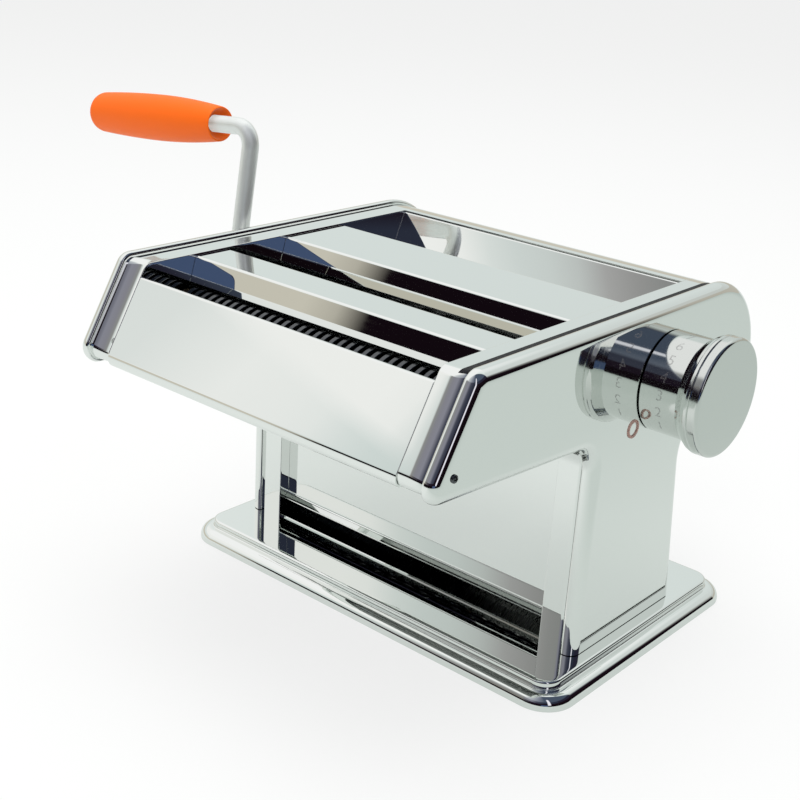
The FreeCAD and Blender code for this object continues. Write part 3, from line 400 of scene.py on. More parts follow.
def numeral_ink(colours):
    """Grey ink of the dial's numbers, worn thin by fingers."""
    return printed_ink("Pad-printed ink, grey", colours.numerals, 0.08, 0.3)


def mark_ink(colours):
    """Red ink of the index mark, fuller because no hand rubs it."""
    return printed_ink("Pad-printed ink, red", colours.mark, 0.45, 0.85)


FINISHES = {
    "chrome": polished_chrome, "turned": turned_chrome, "satin": satin_plate, "steel": roller_steel,
    "cutter": shade_darkened_cutter_steel, "seam": painted_seam_shade, "bronze": sintered_bronze, "grip": moulded_grip,
    "rubber": foot_rubber, "numerals": numeral_ink, "mark": mark_ink,
}
FINISH_OF_SLOT = {
    "polished_chrome": "chrome", "plated_steel": "steel", "bronze": "bronze", "rubber": "rubber",
    "mark_paint": "mark", "orange_plastic": "grip",
}
materials = {}


def material_of(finish):
    """The material of a finish, made on first use."""
    if finish not in materials:
        materials[finish] = FINISHES[finish](bpy.context.scene.machine_colours)
    return materials[finish]


def rounded(corners, moves, steps):
    """Closed outline with each side moved inwards by its own distance, its corners rounded."""
    count = len(corners)
    spots = [Vector(corner[:2]) for corner in corners]
    ways = [(spots[(i + 1) % count] - spots[i]).normalized() for i in range(count)]
    points = []
    for i, (spot, corner) in enumerate(zip(spots, corners)):
        into, out = ways[i - 1], ways[i]
        left_in, left_out = Vector((-into.y, into.x)), Vector((-out.y, out.x))
        turn = math.atan2(into.cross(out), into.dot(out))
        slide = (left_out * moves[i] - left_in * moves[i - 1]).cross(out) / into.cross(out)
        apex = spot + left_in * moves[i - 1] + into * slide
        bend = 1 if turn > 0 else -1
        radius = max(0.0, corner[2] - bend * (moves[i] + moves[i - 1]) / 2) if corner[2] else 0.0
        start = apex - into * radius * math.tan(abs(turn) / 2)
        middle = start + left_in * radius * bend
        for step in range(steps[i] + 1):
            angle = turn * step / steps[i] if steps[i] else 0.0
            points.append(middle + Matrix.Rotation(angle, 2) @ (start - middle))
    return points


def arc(middle_a, middle_b, radius, start, end, steps):
    """Points of an arc between two angles in degrees."""
    angles = [math.radians(start + (end - start) * i / steps) for i in range(steps + 1)]
    return [(middle_a + radius * math.cos(a), middle_b + radius * math.sin(a)) for a in angles]


def strip(path, gauge):
    """Closed outline of a sheet that follows an open path (y, z, radius), thick to its left."""
    points = [Vector(p[:2]) for p in path]
    ways = [(b - a).normalized() for a, b in zip(points, points[1:])]
    ways = [ways[0]] + ways + [ways[-1]]
    near, far = [], []
    for point, corner, into, out in zip(points, path, ways, ways[1:]):
        left_in, left_out = Vector((-into.y, into.x)), Vector((-out.y, out.x))
        turn = math.atan2(into.cross(out), into.dot(out))
        shift = (left_in + left_out) / (1 + into.dot(out)) * gauge
        for row, apex, reach in ((near, point, 0.0), (far, point + shift, gauge)):
            radius = corner[2]
            if radius <= 0 or abs(turn) < 1e-6:
                row.append(apex)
                continue
            bend = 1 if turn > 0 else -1
            radius = max(0.01, radius - reach * bend)
            start = apex - into * radius * math.tan(abs(turn) / 2)
            middle = start + left_in * radius * bend
            steps = max(6, round(abs(turn) * radius / 1.2))
            for step in range(steps + 1):
                row.append(middle + Matrix.Rotation(turn * step / steps, 2) @ (start - middle))
    return near + far[::-1]


def loft(rings, capped):
    """Mesh of quads between rings of points, with a face over each end if it is capped."""
    mesh = bmesh.new()
    rows = [[mesh.verts.new(point) for point in ring] for ring in rings]
    for row, after in zip(rows, rows[1:]):
        for i in range(len(row)):
            mesh.faces.new((row[i - 1], row[i], after[i], after[i - 1]))
    if capped:
        mesh.faces.new(rows[0])
        mesh.faces.new(rows[-1])
    return mesh


def lathe(profile, sides, y=0.0, z=0.0):
    """Mesh turned round the X line through (y, z) from (x, radius)."""
    angles = [2 * math.pi * i / sides for i in range(sides)]
    return loft(
        [[(x, y + r * math.cos(a), z + r * math.sin(a)) for a in angles] for x, r in profile], False
    )


def prism(points, x_from, x_to):
    """Mesh of a side-view outline between two X places."""
    return loft([[(x, p[0], p[1]) for p in points] for x in (x_from, x_to)], True)


def joined(meshes):
    """One mesh of several."""
    whole = bmesh.new()
    for mesh in meshes:
        part = bpy.data.meshes.new("part")
        mesh.to_mesh(part)
        mesh.free()
        whole.from_mesh(part)
        bpy.data.meshes.remove(part)
    return whole


def placed(name, mesh):
    """Object at the origin from a mesh in millimetres, its doubles merged, its faces outwards."""
    bmesh.ops.remove_doubles(mesh, verts=mesh.verts, dist=1e-4)
    bmesh.ops.recalc_face_normals(mesh, faces=mesh.faces)
    data = bpy.data.meshes.new(name)
    mesh.to_mesh(data)
    mesh.free()
    data.transform(Matrix.Scale(MM, 4))
    piece = bpy.data.objects.new(name, data)
    bpy.context.scene.collection.objects.link(piece)
    return piece


def bake(piece):
    """Puts the result of the piece's modifiers in place of its mesh."""
    graph = bpy.context.evaluated_depsgraph_get()
    data = bpy.data.meshes.new_from_object(piece.evaluated_get(graph), depsgraph=graph)
    piece.modifiers.clear()
    piece.data = data


def finish(piece, kind, body, nodes=(), sharp=38, seam=None):
    """Bakes and shades a piece, gives it its finish and joins it to its body; seam says which
    faces lie in a seam and take the seam colour, painted shade, from their centre in millimetres."""
    bake(piece)
    data = piece.data
    data.shade_smooth()
    data.set_sharp_from_angle(angle=math.radians(sharp))
    data.materials.clear()
    data.materials.append(material_of(kind))
    if seam:
        data.materials.append(material_of("seam"))
        for face in data.polygons:
            face.material_index = 1 if seam(face.center / MM) else 0
    weighted = piece.modifiers.new("Weighted normals", "WEIGHTED_NORMAL")
    weighted.keep_sharp = True
    bake(piece)
    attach(piece, body)
    if nodes:
        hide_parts(*nodes)
    return piece


def cut_by(piece, cutters):
    """Cuts the piece with solids."""
    tool = placed("cutters", joined(cutters))
    boolean = piece.modifiers.new("Holes", "BOOLEAN")
    boolean.operation, boolean.solver, boolean.object = "DIFFERENCE", "EXACT", tool
    bake(piece)
    bpy.data.objects.remove(tool)


def break_edges(piece):
    """Rounds the piece's cut edges."""
    bevel = piece.modifiers.new("Edge break", "BEVEL")
    bevel.width = bpy.context.scene.machine_sizes.edge_break
    bevel.segments = 2
    bevel.limit_method = "ANGLE"
    bevel.angle_limit = math.radians(50)


def side_rings(profile, foot_z, inner_foot):
    """Rings of the side outline from (x, inward move, extra move of the slanted front, inside)."""
    rings = []
    for x, move, roll, inside in profile:
        moves = [inner_foot if inside else 0.0] + [move] * 7
        moves[SLANT_SIDE] += roll
        points = rounded(side_outline(foot_z), moves, OUTLINE_STEPS)
        rings.append([(x, p.x, p.y) for p in points])
    return rings


def mirror(mesh, left):
    """Moves a right-hand mesh to the left side."""
    if left:
        bmesh.ops.scale(mesh, vec=(-1, 1, 1), verts=mesh.verts)
    return mesh


def drilled(y, z, radius, x_from, x_to, sides=40):
    """Solid that drills a hole along X."""
    return lathe(((x_from, 0), (x_from, radius), (x_to, radius), (x_to, 0)), sides, y, z)


class PASTA_OT_side_covers(Operator):
    """Build the two side covers, each a shallow pressed box with a rounded bead round its edge"""
    bl_idname = "pasta.side_covers"
    bl_label = "Side covers"

    def execute(self, context):
        for left in (True, False):
            side = "left" if left else "right"
            # The lip follows the frame's flange: dished on the left, rolled back on the right
            lip, shoulder = (0.7, 0.0) if left else (1.8, 1.2)
            inner = [(96.5, 3.3, 0, True)]
            inner += [(x, d, 0, True) for x, d in arc(92.5, 3.0, 4.0, 0, -90, 8)]
            inner += [(92.0, -1.0, 0, True), (92.0, 2.3, 0, True), (88.5, 2.3, lip, True)]
            outer = [(88.5, 1.3, lip, False), (90.05, 1.3, lip, False), (90.05, 0.4, shoulder, False)]
            outer += [(BEAD_START, 0.4, shoulder, False), (BEAD_START, -0.66, 0, False)]
            outer += [(x, d, 0, False) for x, d in arc(92.3, -0.66, 1.3, 180, 270, 6)[1:]]
            outer += [(x, d, 0, False) for x, d in arc(92.5, 3.04, 5.0, -90, 0, 14)]
            outer += [(COVER_FACE, 3.3, 0, False)]
            mesh = mirror(loft(side_rings(inner + outer, COVER_FOOT_Z, 1.0), True), left)
            piece = placed("Side_cover_" + side, mesh)
            if left:
                holes = [drilled(y, z, SOCKET_HOLE, -99.0, -95.0) for y, z in SOCKETS]
            else:
                # The index peg stands where the first setting's dimple is
                holes = [drilled(DIAL_Y, SHEET_Z, SHAFT_HOLE, 95.0, 99.0)]
                holes.append(drilled(*setting_place(0), PEG_HOLE, 95.0, 99.0))
            cut_by(piece, holes)
            finish(
                piece, "chrome", "machine", ("side_cover_" + side,),
                # Faces short of the bead on the right cover take the seam colour: painted shade in the groove
                seam=lambda at: 0 < at.x < BEAD_START - 0.05,
            )
        return {"FINISHED"}


class PASTA_OT_side_frames(Operator):
    """Build the two side frames, pressed webs with a flange turned outwards all round"""
    bl_idname = "pasta.side_frames"
    bl_label = "Side frames"

    def execute(self, context):
        # On the slanted front the right flange rolls back and the left one is dished
        roll = context.scene.machine_sizes.flange_roll
        roll_start, roll_radius = 84.0, 12.0
        rolled = [(roll_start + roll_radius * math.sin(angle), roll_radius * (1 - math.cos(angle)))
                  for angle in [roll * step / 8 for step in range(9)]]
        rolled = [(x, depth) for x, depth in rolled if x <= FLANGE_EDGE - 0.4]
        dish_start, dish_width = 81.2, 8.4
        dished = [(dish_start + dish_width * t, dish_width / 2 * math.tan(roll) * (1 - t * t))
                  for t in [step / 10 for step in range(11)]]
        for left in (True, False):
            side = "left" if left else "right"
            front = dished if left else rolled
            first, deepest = (front[0][1] if left else 0.0), front[-1][1]
            outer = [(WEB_INNER, 1.1, 0, False)]
            outer += [(x, d, 0, False) for x, d in arc(79.35, 0.35, 0.35, 180, 270, 4)]
            outer += [(x, 0.0, depth, False) for x, depth in front]
            outer += [(FLANGE_EDGE, 0.4, deepest, False), (FLANGE_EDGE, 0.8, deepest, True)]
            inner = [(x, FLANGE_GAUGE, depth, True) for x, depth in front[::-1]]
            inner += [(WEB_OUTER, FLANGE_GAUGE, first, True)]
            mesh = mirror(loft(side_rings(outer + inner, BASE_TOP_Z, FLANGE_GAUGE), True), left)
            piece = placed("Side_frame_" + side, mesh)
            ends = (-81.0, -78.0) if left else (78.0, 81.0)
            holes = [drilled(y, z, BUSH_HOLE, *ends) for y, z in JOURNALS]
            holes += [drilled(y, z, SOCKET_BUSH_HOLE if left else BUSH_HOLE, *ends) for y, z in SOCKETS]
            # A slot with round ends lies round the dial's axis
            slot = [(DIAL_Y + a * 11.1, SHEET_Z + b * 9.9, 9.9) for a, b in CORNERS]
            holes.append(prism(rounded(slot, (0,) * 4, (12,) * 4), *ends))
            holes += [drilled(y, z, TIE_ROD_HOLE, *ends, sides=20) for y, z in TIE_RODS]
            cut_by(piece, holes)
            finish(
                piece, "chrome", "machine", ("side_frame_" + side,),
                # On the right frame the flange's edge and a 3.4 mm band of the top flange take the seam
                # colour: painted shade along the groove
                seam=lambda at: at.x > FLANGE_EDGE - (3.4 if at.z > 153.0 else 0.3),
            )
        return {"FINISHED"}


class PASTA_OT_sheet_metal(Operator):
    """Build the bent sheets that span the machine from frame to frame"""
    bl_idname = "pasta.sheet_metal"
    bl_label = "Covers and guides"

    def execute(self, context):
        low_y = front_y(FRONT_LOW_Z)
        lip_y = low_y + 15.0
        hem = 7.5
        outline = side_outline(BASE_TOP_Z)
        # Paths (y, z, radius); the first four sheets are thick to the right of theirs, two to the left
        paths = {
            "front_cover": (
                (lip_y, underside_z(lip_y), 0), (low_y, FRONT_LOW_Z, 4.0),
                (FRONT_TOP_Y, FRONT_TOP_Z, 1.2), (FRONT_TOP_Y + hem * math.sin(SLANT), FRONT_TOP_Z - hem, 0),
            ),
            "guide_plate_front": (
                (-98.7, 142.1, 0), (-95.5, GUIDE_TOP_Z, 1.2), (-76.5, GUIDE_TOP_Z, 1.2), (-76.5, 136.0, 0),
            ),
            "guide_plate_rear": (
                (-44.7, 142.1, 0), (-41.5, GUIDE_TOP_Z, 1.2), (-3.5, GUIDE_TOP_Z, 1.2), (-3.5, 138.5, 0),
            ),
            "back_cover": ((41.5, HEAD_TOP_Z, 0), outline[4], outline[3], outline[2], outline[1]),
        }
        raised = {
            "hopper_panel": ((43.8, 153.2, 0), (41.5, 153.2, 1.2), (35.5, 139.6, 0), (34.3, 138.4, 0)),
            "front_panel": ((-35.0, 118.0, 0), (-35.0, 21.7, 1.2), (-38.6, 20.5, 0)),
        }
        for group, gauge in ((paths, -SHEET_GAUGE), (raised, SHEET_GAUGE)):
            for node, path in group.items():
                piece = placed(node.capitalize(), prism(strip(path, gauge), -WEB_INNER, WEB_INNER))
                break_edges(piece)
                finish(piece, "chrome", "machine", (node,))
        return {"FINISHED"}


class PASTA_OT_base(Operator):
    """Build the pressed base pan with its rim, step and raised field, and its turned feet"""
    bl_idname = "pasta.base"
    bl_label = "Base"

    def execute(self, context):
        corners = [(a * BASE_HALF_X, b * BASE_HALF_Y, BASE_CORNER) for a, b in CORNERS]
        # Rings (inset, z) from the middle of the field's top, over the rim and round to its underside
        section = [(9.0, 10.0)] + [(7.7 - a, z) for a, z in arc(0, 8.8, 1.2, 90, 0, 5)]
        section += [(6.5, 6.8)] + [(5.9 + a, z) for a, z in arc(0, 6.8, 0.6, 0, -90, 4)][1:]
        section += [(5.0 - a, z) for a, z in arc(0, 1.2, 5.0, 90, 0, 12)]
        section += [(0.3 - a, z) for a, z in arc(0, 0.3, 0.3, 0, -90, 3)]
        section += [(1.0, 0.0), (1.0, 1.2)] + [(5.0 - a, z) for a, z in arc(0, 1.2, 4.0, 0, 90, 8)][1:]
        section += [(7.5, 5.2), (7.5, 9.0), (9.0, 9.0)]
        rings = []
        for inset, z in section:
            points = rounded(corners, [inset] * 4, (14,) * 4)
            rings.append([(p.x, p.y, z) for p in points])
        pan = placed("Base_pan", loft(rings, True))
        finish(pan, "chrome", "machine", ("base_pan",), sharp=50)
        # The foot's profile (height, radius)
        turned = lathe((
            (0.01, 0.0), (0.01, 8.2), (0.25, 8.75), (0.8, 9.0), (4.0, 9.0), (8.6, 8.8), (9.0, 8.4),
            (9.0, 0.0),
        ), 40)
        bmesh.ops.rotate(turned, matrix=Matrix.Rotation(-math.pi / 2, 3, "Y"), verts=turned.verts)
        repeated("Foot", [(x, y, 0.0) for x, y in FEET], turned, 1, 0.0, "rubber", "machine", "base_feet")
        return {"FINISHED"}


def repeat_tree():
    """Geometry nodes that set a row of pieces at each of the host's vertices."""
    tree = bpy.data.node_groups.new("Repeated pieces", "GeometryNodeTree")
    for name, kind in (
        ("Places", "NodeSocketGeometry"), ("Piece", "NodeSocketObject"), ("Count", "NodeSocketInt"),
        ("Step", "NodeSocketVector"), ("Finish", "NodeSocketMaterial"),
    ):
        tree.interface.new_socket(name=name, in_out="INPUT", socket_type=kind)
    tree.interface.new_socket(name="Geometry", in_out="OUTPUT", socket_type="NodeSocketGeometry")
    given = add(tree, "NodeGroupInput").outputs
    row = add(tree, "GeometryNodeMeshLine", {"Count": given["Count"], "Offset": given["Step"]})
    piece = add(tree, "GeometryNodeObjectInfo", {"Object": given["Piece"]})
    along = add(tree, "GeometryNodeInstanceOnPoints", {
        "Points": row.outputs["Mesh"], "Instance": piece.outputs["Geometry"],
    })
    everywhere = add(tree, "GeometryNodeInstanceOnPoints", {
        "Points": given["Places"], "Instance": along.outputs["Instances"],
    })
    real = add(tree, "GeometryNodeRealizeInstances", {"Geometry": everywhere.outputs["Instances"]})
    finished = add(tree, "GeometryNodeSetMaterial", {
        "Geometry": real.outputs["Geometry"], "Material": given["Finish"],
    })
    add(tree, "NodeGroupOutput", {"Geometry": finished.outputs["Geometry"]})
    return tree


def repeated(name, places, mesh, count, step, kind, body, node):
    """Piece of many like ones: a row of count along X from each place, step millimetres apart."""
    tree = bpy.data.node_groups.get("Repeated pieces") or repeat_tree()
    single = placed(name + "_single", mesh)
    data = bpy.data.meshes.new(name)
    data.from_pydata([Vector(place) * MM for place in places], [], [])
    host = bpy.data.objects.new(name, data)
    bpy.context.scene.collection.objects.link(host)
    nodes = host.modifiers.new("Repeated pieces", "NODES")
    nodes.node_group = tree
    values = {"Piece": single, "Count": count, "Step": (step * MM, 0.0, 0.0), "Finish": material_of(kind)}
    for item in tree.interface.items_tree:
        if item.in_out == "INPUT" and item.name in values:
            nodes[item.identifier] = values[item.name]
    host.update_tag()
    finish(host, kind, body, (node,))
    bpy.data.objects.remove(single)


class PASTA_OT_cutters(Operator):
    """Build the four cutting rollers, each a core with its rings, and the bushes they run in"""
    bl_idname = "pasta.cutters"
    bl_label = "Cutting rollers"

    def execute(self, context):
        sides = context.scene.machine_sizes.ring_sides
        for group, places, width, count in (("fine", FINE_Y, 2.1, 34), ("wide", WIDE_Y, 6.2, 12)):
            step = 2 * (width + RING_GAP)
            for role, y in (("follow", places[0]), ("drive", places[1])):
                node, body = group + "_cutter_" + role, group + "_" + role
                start = -step * count / 2 + (step / 2 if role == "follow" else 0.0)
                ring = lathe([
                    (0, RING_BORE), (0, RING_RADIUS - 0.15), (0.15, RING_RADIUS), (width - 0.15, RING_RADIUS),
                    (width, RING_RADIUS - 0.15), (width, RING_BORE),
                ], sides)
                name = node.capitalize() + "_rings"
                repeated(name, [(start, y, CUTTER_Z)], ring, count, step, "cutter", body, node)
                if role == "follow":
                    core = [(-88.0, 0), (-88.0, 4.6), (-87.6, 5.0), (-ROLLER_HALF, 5.0)]
                else:
                    # The crank's socket is bored into the left end
                    core = [(-80.5, 0), (-80.5, 4.05), (-98.5, 4.05), (-98.5, 6.1), (-98.1, 6.5)]
                    core += [(-ROLLER_HALF, 6.5)]
                core += [(-ROLLER_HALF, 7.5), (ROLLER_HALF, 7.5), (ROLLER_HALF, 5.0)]
                core += [(82.8, 5.0), (83.2, 4.6), (83.2, 0)]
                piece = placed(node.capitalize() + "_core", lathe(core, 48, y, CUTTER_Z))
                finish(piece, "steel", body, (node,))
        for name, start, bore, places in (
            ("right", 76.6, 5.05, JOURNALS + SOCKETS), ("left", -81.9, 5.05, JOURNALS),
            ("socket", -81.9, 6.55, SOCKETS),
        ):
            outer = bore + 1.95
            bush = lathe([
                (start, bore), (start, outer - 0.3), (start + 0.3, outer), (start + 5.0, outer),
                (start + 5.3, outer - 0.3), (start + 5.3, bore), (start, bore),
            ], 40)
            spots = [(0.0, y, z) for y, z in places]
            repeated("Bushes_" + name, spots, bush, 1, 0.0, "bronze", "machine", "shaft_bushes")
        return {"FINISHED"}


class PASTA_OT_fasteners(Operator):
    """Build the tie rods between the frames and the cross-slotted screws in the covers"""
    bl_idname = "pasta.fasteners"
    bl_label = "Rods and screws"

    def execute(self, context):
        rod = lathe([(-WEB_INNER, 0), (-WEB_INNER, 3.0), (WEB_INNER, 3.0), (WEB_INNER, 0)], 28)
        spots = [(0.0, y, z) for y, z in TIE_RODS]
        repeated("Tie_rods", spots, rod, 1, 0.0, "steel", "machine", "tie_rods")
        y, z = COVER_SCREW
        rise = context.scene.machine_sizes.screw_dome / MM
        radius = 1.6
        for left in (True, False):
            dome = [(96.5, 0), (96.5, 1.0), (COVER_FACE, 1.0), (COVER_FACE, radius)]
            dome += [(COVER_FACE + 0.3 * rise, radius)]
            dome += [(COVER_FACE + rise * (0.3 + 0.7 * math.sin(a)), radius * math.cos(a))
                     for a in [math.pi / 16 * i for i in range(1, 9)]]
            head = placed("Cover_screw_" + ("left" if left else "right"), mirror(lathe(dome, 32, y, z), left))
            low, high = COVER_FACE + 0.35 * rise, COVER_FACE + 3.0
            for half_y, half_z in ((1.1, 0.25), (0.25, 1.1)):
                slot = [(y + a * half_y, z + b * half_z) for a, b in CORNERS]
                cut_by(head, [mirror(prism(slot, low, high), left)])
            finish(head, "cutter", "machine", ("cover_screws",))
        return {"FINISHED"}


def build_cap():
    """Cap: a cove sweeps from the barrel up to a bead, then a fine groove and the rim."""
    cap = [(BARREL_FRONT, 20.0), (BARREL_FRONT, BARREL_RADIUS)]
    cap += [(118.4 - 3.9 * math.cos(a), BARREL_RADIUS + 2.9 * (1 - math.cos(a)))
            for a in [math.pi / 24 * i for i in range(2, 13)]]
    cap += [(119.0 + 1.0 * math.sin(a), 24.4 + 0.6 * math.sin(a)) for a in (0.4, 1.0, 1.5)]
    cap += [(121.1, 25.0), (121.5, 24.55), (121.9, 25.0), (124.5, 25.0)]
    cap += [(124.5 + a, 23.5 + r) for a, r in arc(0, 0, 1.5, 90, 0, 8)][1:]
    cap += [(CAP_FACE, 20.0), (CAP_FACE, 0), (CAP_FACE - 2.6, 0), (CAP_FACE - 2.6, 19.0)]
    cap += [(CAP_FACE - 3.6, 20.0), (BARREL_FRONT, 20.0)]
    finish(placed("Dial_cap", lathe(cap, 96, DIAL_Y, SHEET_Z)), "turned", "knob", ("dial_cap",), sharp=40)


def build_barrel(gap):
    """Barrel: its skirt runs nearer to the cover than its back, in which the settings' dimples lie."""
    skirt = COVER_FACE + gap
    barrel = placed("Dial_barrel", lathe([
        (BARREL_BACK, BARREL_BORE), (BARREL_BACK, 20.2), (skirt, 20.4), (skirt, BARREL_RADIUS - 0.2),
        (skirt + 0.2, BARREL_RADIUS), (BARREL_FRONT, BARREL_RADIUS), (BARREL_FRONT, SPRING_POCKET),
        (BARREL_LEDGE, SPRING_POCKET), (BARREL_LEDGE, BARREL_BORE), (BARREL_BACK, BARREL_BORE),
    ], 96, DIAL_Y, SHEET_Z))
    low, high = BARREL_BACK - 1.0, BARREL_BACK + DIMPLE_DEPTH
    cut_by(barrel, [
        drilled(*setting_place(step), DIMPLE_RADIUS, low, high, 24) for step in range(SETTINGS)
    ])
    finish(barrel, "turned", "knob", ("dial_knob",), sharp=40)


def build_spring():
    """Spring between the barrel's ledge and its washer. A pull of 3 mm brings these from 9.1 mm apart
    to 6.1, so the spring keeps a little under two thirds of its length."""
    coil = []
    turn_steps = 24
    steps = SPRING_TURNS * turn_steps
    for step in range(steps + 1):
        angle = 2 * math.pi * step / turn_steps
        x = SPRING_START + SPRING_LENGTH * step / steps
        ring = []
        for along, out in arc(0, 0, SPRING_WIRE_RADIUS, 0, 360, 10)[:-1]:
            reach = SPRING_RADIUS + out
            ring.append((x + along, DIAL_Y + reach * math.cos(angle), SHEET_Z + reach * math.sin(angle)))
        coil.append(ring)
    spring = finish(placed("Knob_spring", loft(coil, True)), "steel", "dial", ("knob_spring",))
    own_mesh(spring)


def build_numbers(height):
    """Numbers of the settings, drawn flat, cut into 12 bands and wrapped round the barrel. The font's
    size is 1.43 times the height of its numbers."""
    wrapped = []
    reach = BARREL_RADIUS + NUMERAL_FILM
    for step in range(SETTINGS):
        text = bpy.data.curves.new("Numeral", "FONT")
        text.body, text.size, text.align_x = str(step + 1), 1.43 * height, "CENTER"
        holder = bpy.data.objects.new("Numeral", text)
        bpy.context.scene.collection.objects.link(holder)
        drawn = holder.evaluated_get(bpy.context.evaluated_depsgraph_get())
        flat = bmesh.new()
        flat.from_mesh(bpy.data.meshes.new_from_object(drawn))
        bpy.data.objects.remove(holder)
        for line in range(1, 12):
            bmesh.ops.bisect_plane(
                flat, geom=flat.verts[:] + flat.edges[:] + flat.faces[:],
                plane_co=(0, height * line / 12, 0), plane_no=(0, 1, 0),
            )
        for vert in flat.verts:
            across, rise = vert.co.x, vert.co.y - height / 2
            angle = math.radians(FIRST_NUMERAL - SETTING_STEP * step) - rise / BARREL_RADIUS
            y, z = DIAL_Y + reach * math.cos(angle), SHEET_Z + reach * math.sin(angle)
            vert.co = (NUMERAL_X + across, y, z)
        wrapped.append(flat)
    finish(placed("Dial_numbers", joined(wrapped)), "numerals", "knob")


class PASTA_OT_dial(Operator):
    """Build the dial: its coved cap, its barrel, the spring inside and the numbers of nine settings"""
    bl_idname = "pasta.dial"
    bl_label = "Dial"

    def execute(self, context):
        build_cap()
        build_barrel(context.scene.machine_sizes.barrel_gap / MM)
        build_spring()
        build_numbers(context.scene.machine_sizes.numeral_height / MM)
        return {"FINISHED"}


def grip_radius(x):
    """Radius of the grip along its length: it swells to its belly, then tapers."""
    if x <= GRIP_BELLY_PLACE:
        return GRIP_NECK + (GRIP_BELLY - GRIP_NECK) * (1 - (1 - x / GRIP_BELLY_PLACE) ** 2)
    share = (x - GRIP_BELLY_PLACE) / (GRIP_LENGTH - GRIP_BELLY_PLACE)
    return GRIP_BELLY - GRIP_TAPER * share ** 2


class PASTA_OT_grip(Operator):
    """Build the crank's moulded grip, full in the hand and dished round the rod"""
    bl_idname = "pasta.grip"
    bl_label = "Grip"

    def execute(self, context):
        # From the bottom of the bore out over the dished neck, then along the outside to the round end
        bottom = GRIP_LENGTH - 8.0
        profile = [(bottom, 0), (bottom, GRIP_BORE), (4.2, GRIP_BORE), (3.6, 5.2), (2.4, 6.4), (0.4, 7.3)]
        profile += [(0.0, 7.6), (0.0, 7.8), (0.3, 8.1), (0.9, grip_radius(0.9))]
        profile += [(x, grip_radius(x)) for x in range(4, 84, 4)]
        end, round_end = GRIP_LENGTH - 0.35, 6.0
        widest = grip_radius(end - round_end)
        profile += [(end - round_end + round_end * math.sin(a), widest - round_end * (1 - math.cos(a)))
                    for a in [math.pi / 24 * step for step in range(13)]]
        profile.append((end + 0.2, 0))
        grip = lathe(profile, 64)
        top = CRANK_ELBOW + Vector((0, math.sin(CRANK_LEAN), math.cos(CRANK_LEAN))) * CRANK_ARM
        outward = Vector((-math.cos(CRANK_DROOP), 0, -math.sin(CRANK_DROOP)))
        upward = Vector((-math.sin(CRANK_DROOP), 0, math.cos(CRANK_DROOP)))
        turn = Matrix((outward, upward.cross(outward), upward)).transposed()
        seat = Matrix.Translation(top + outward * GRIP_START) @ turn.to_4x4()
        bmesh.ops.transform(grip, matrix=seat, verts=grip.verts)
        piece = finish(placed("Crank_grip", grip), "grip", "grip", ("crank_grip",), sharp=60)
        # The photographed chrome shows nothing of the grip
        piece.visible_glossy = False
        return {"FINISHED"}


class PASTA_OT_finishes(Operator):
    """Give every node that stays from the frame its finish"""
    bl_idname = "pasta.finishes"
    bl_label = "Finishes"

    def execute(self, context):
        own = {"crank_rod": "satin", "outfeed_chute": "chrome"}
        slots = {entry["node"]: entry["material_slot"] for entry in frame["record"]["subparts"]}
        for name, node in frame["nodes"].items():
            node.data.materials.clear()
            node.data.materials.append(material_of(own.get(name, FINISH_OF_SLOT[slots[name]])))
        return {"FINISHED"}


class PASTA_OT_studio(Operator):
    """Set the pale floor, the soft lamps and the camera at the photograph's angle"""
    bl_idname = "pasta.studio"
    bl_label = "Studio"

    def execute(self, context):
        set_camera(context.scene)
        set_world(context.scene)
        set_floor(context.scene)
        set_lamps(context.scene)
        context.scene.view_settings.view_transform = "Standard"
        return {"FINISHED"}


def set_camera(scene):
    """Camera fitted to the photograph's straight edges; the image is 800 by 800."""
    yaw, pitch, roll = CAMERA_YAW, CAMERA_PITCH, CAMERA_ROLL
    ahead = Vector((-math.sin(yaw) * math.cos(pitch), math.cos(yaw) * math.cos(pitch), -math.sin(pitch)))
    level = Vector((math.cos(yaw), math.sin(yaw), 0))
    upward = level.cross(ahead)
    right = level * math.cos(roll) + upward * math.sin(roll)
    up = upward * math.cos(roll) - level * math.sin(roll)
    camera = bpy.data.objects.new("Camera", bpy.data.cameras.new("Camera"))
    scene.collection.objects.link(camera)
    turn = Matrix((right, up, -ahead)).transposed().to_4x4()
    camera.matrix_world = Matrix.Translation(CAMERA_PLACE) @ turn
    camera.data.lens = SENSOR_WIDTH * FOCAL_PIXELS / IMAGE_PIXELS
    camera.data.clip_start = 0.01
    camera.data.clip_end = 50
    scene.camera = camera


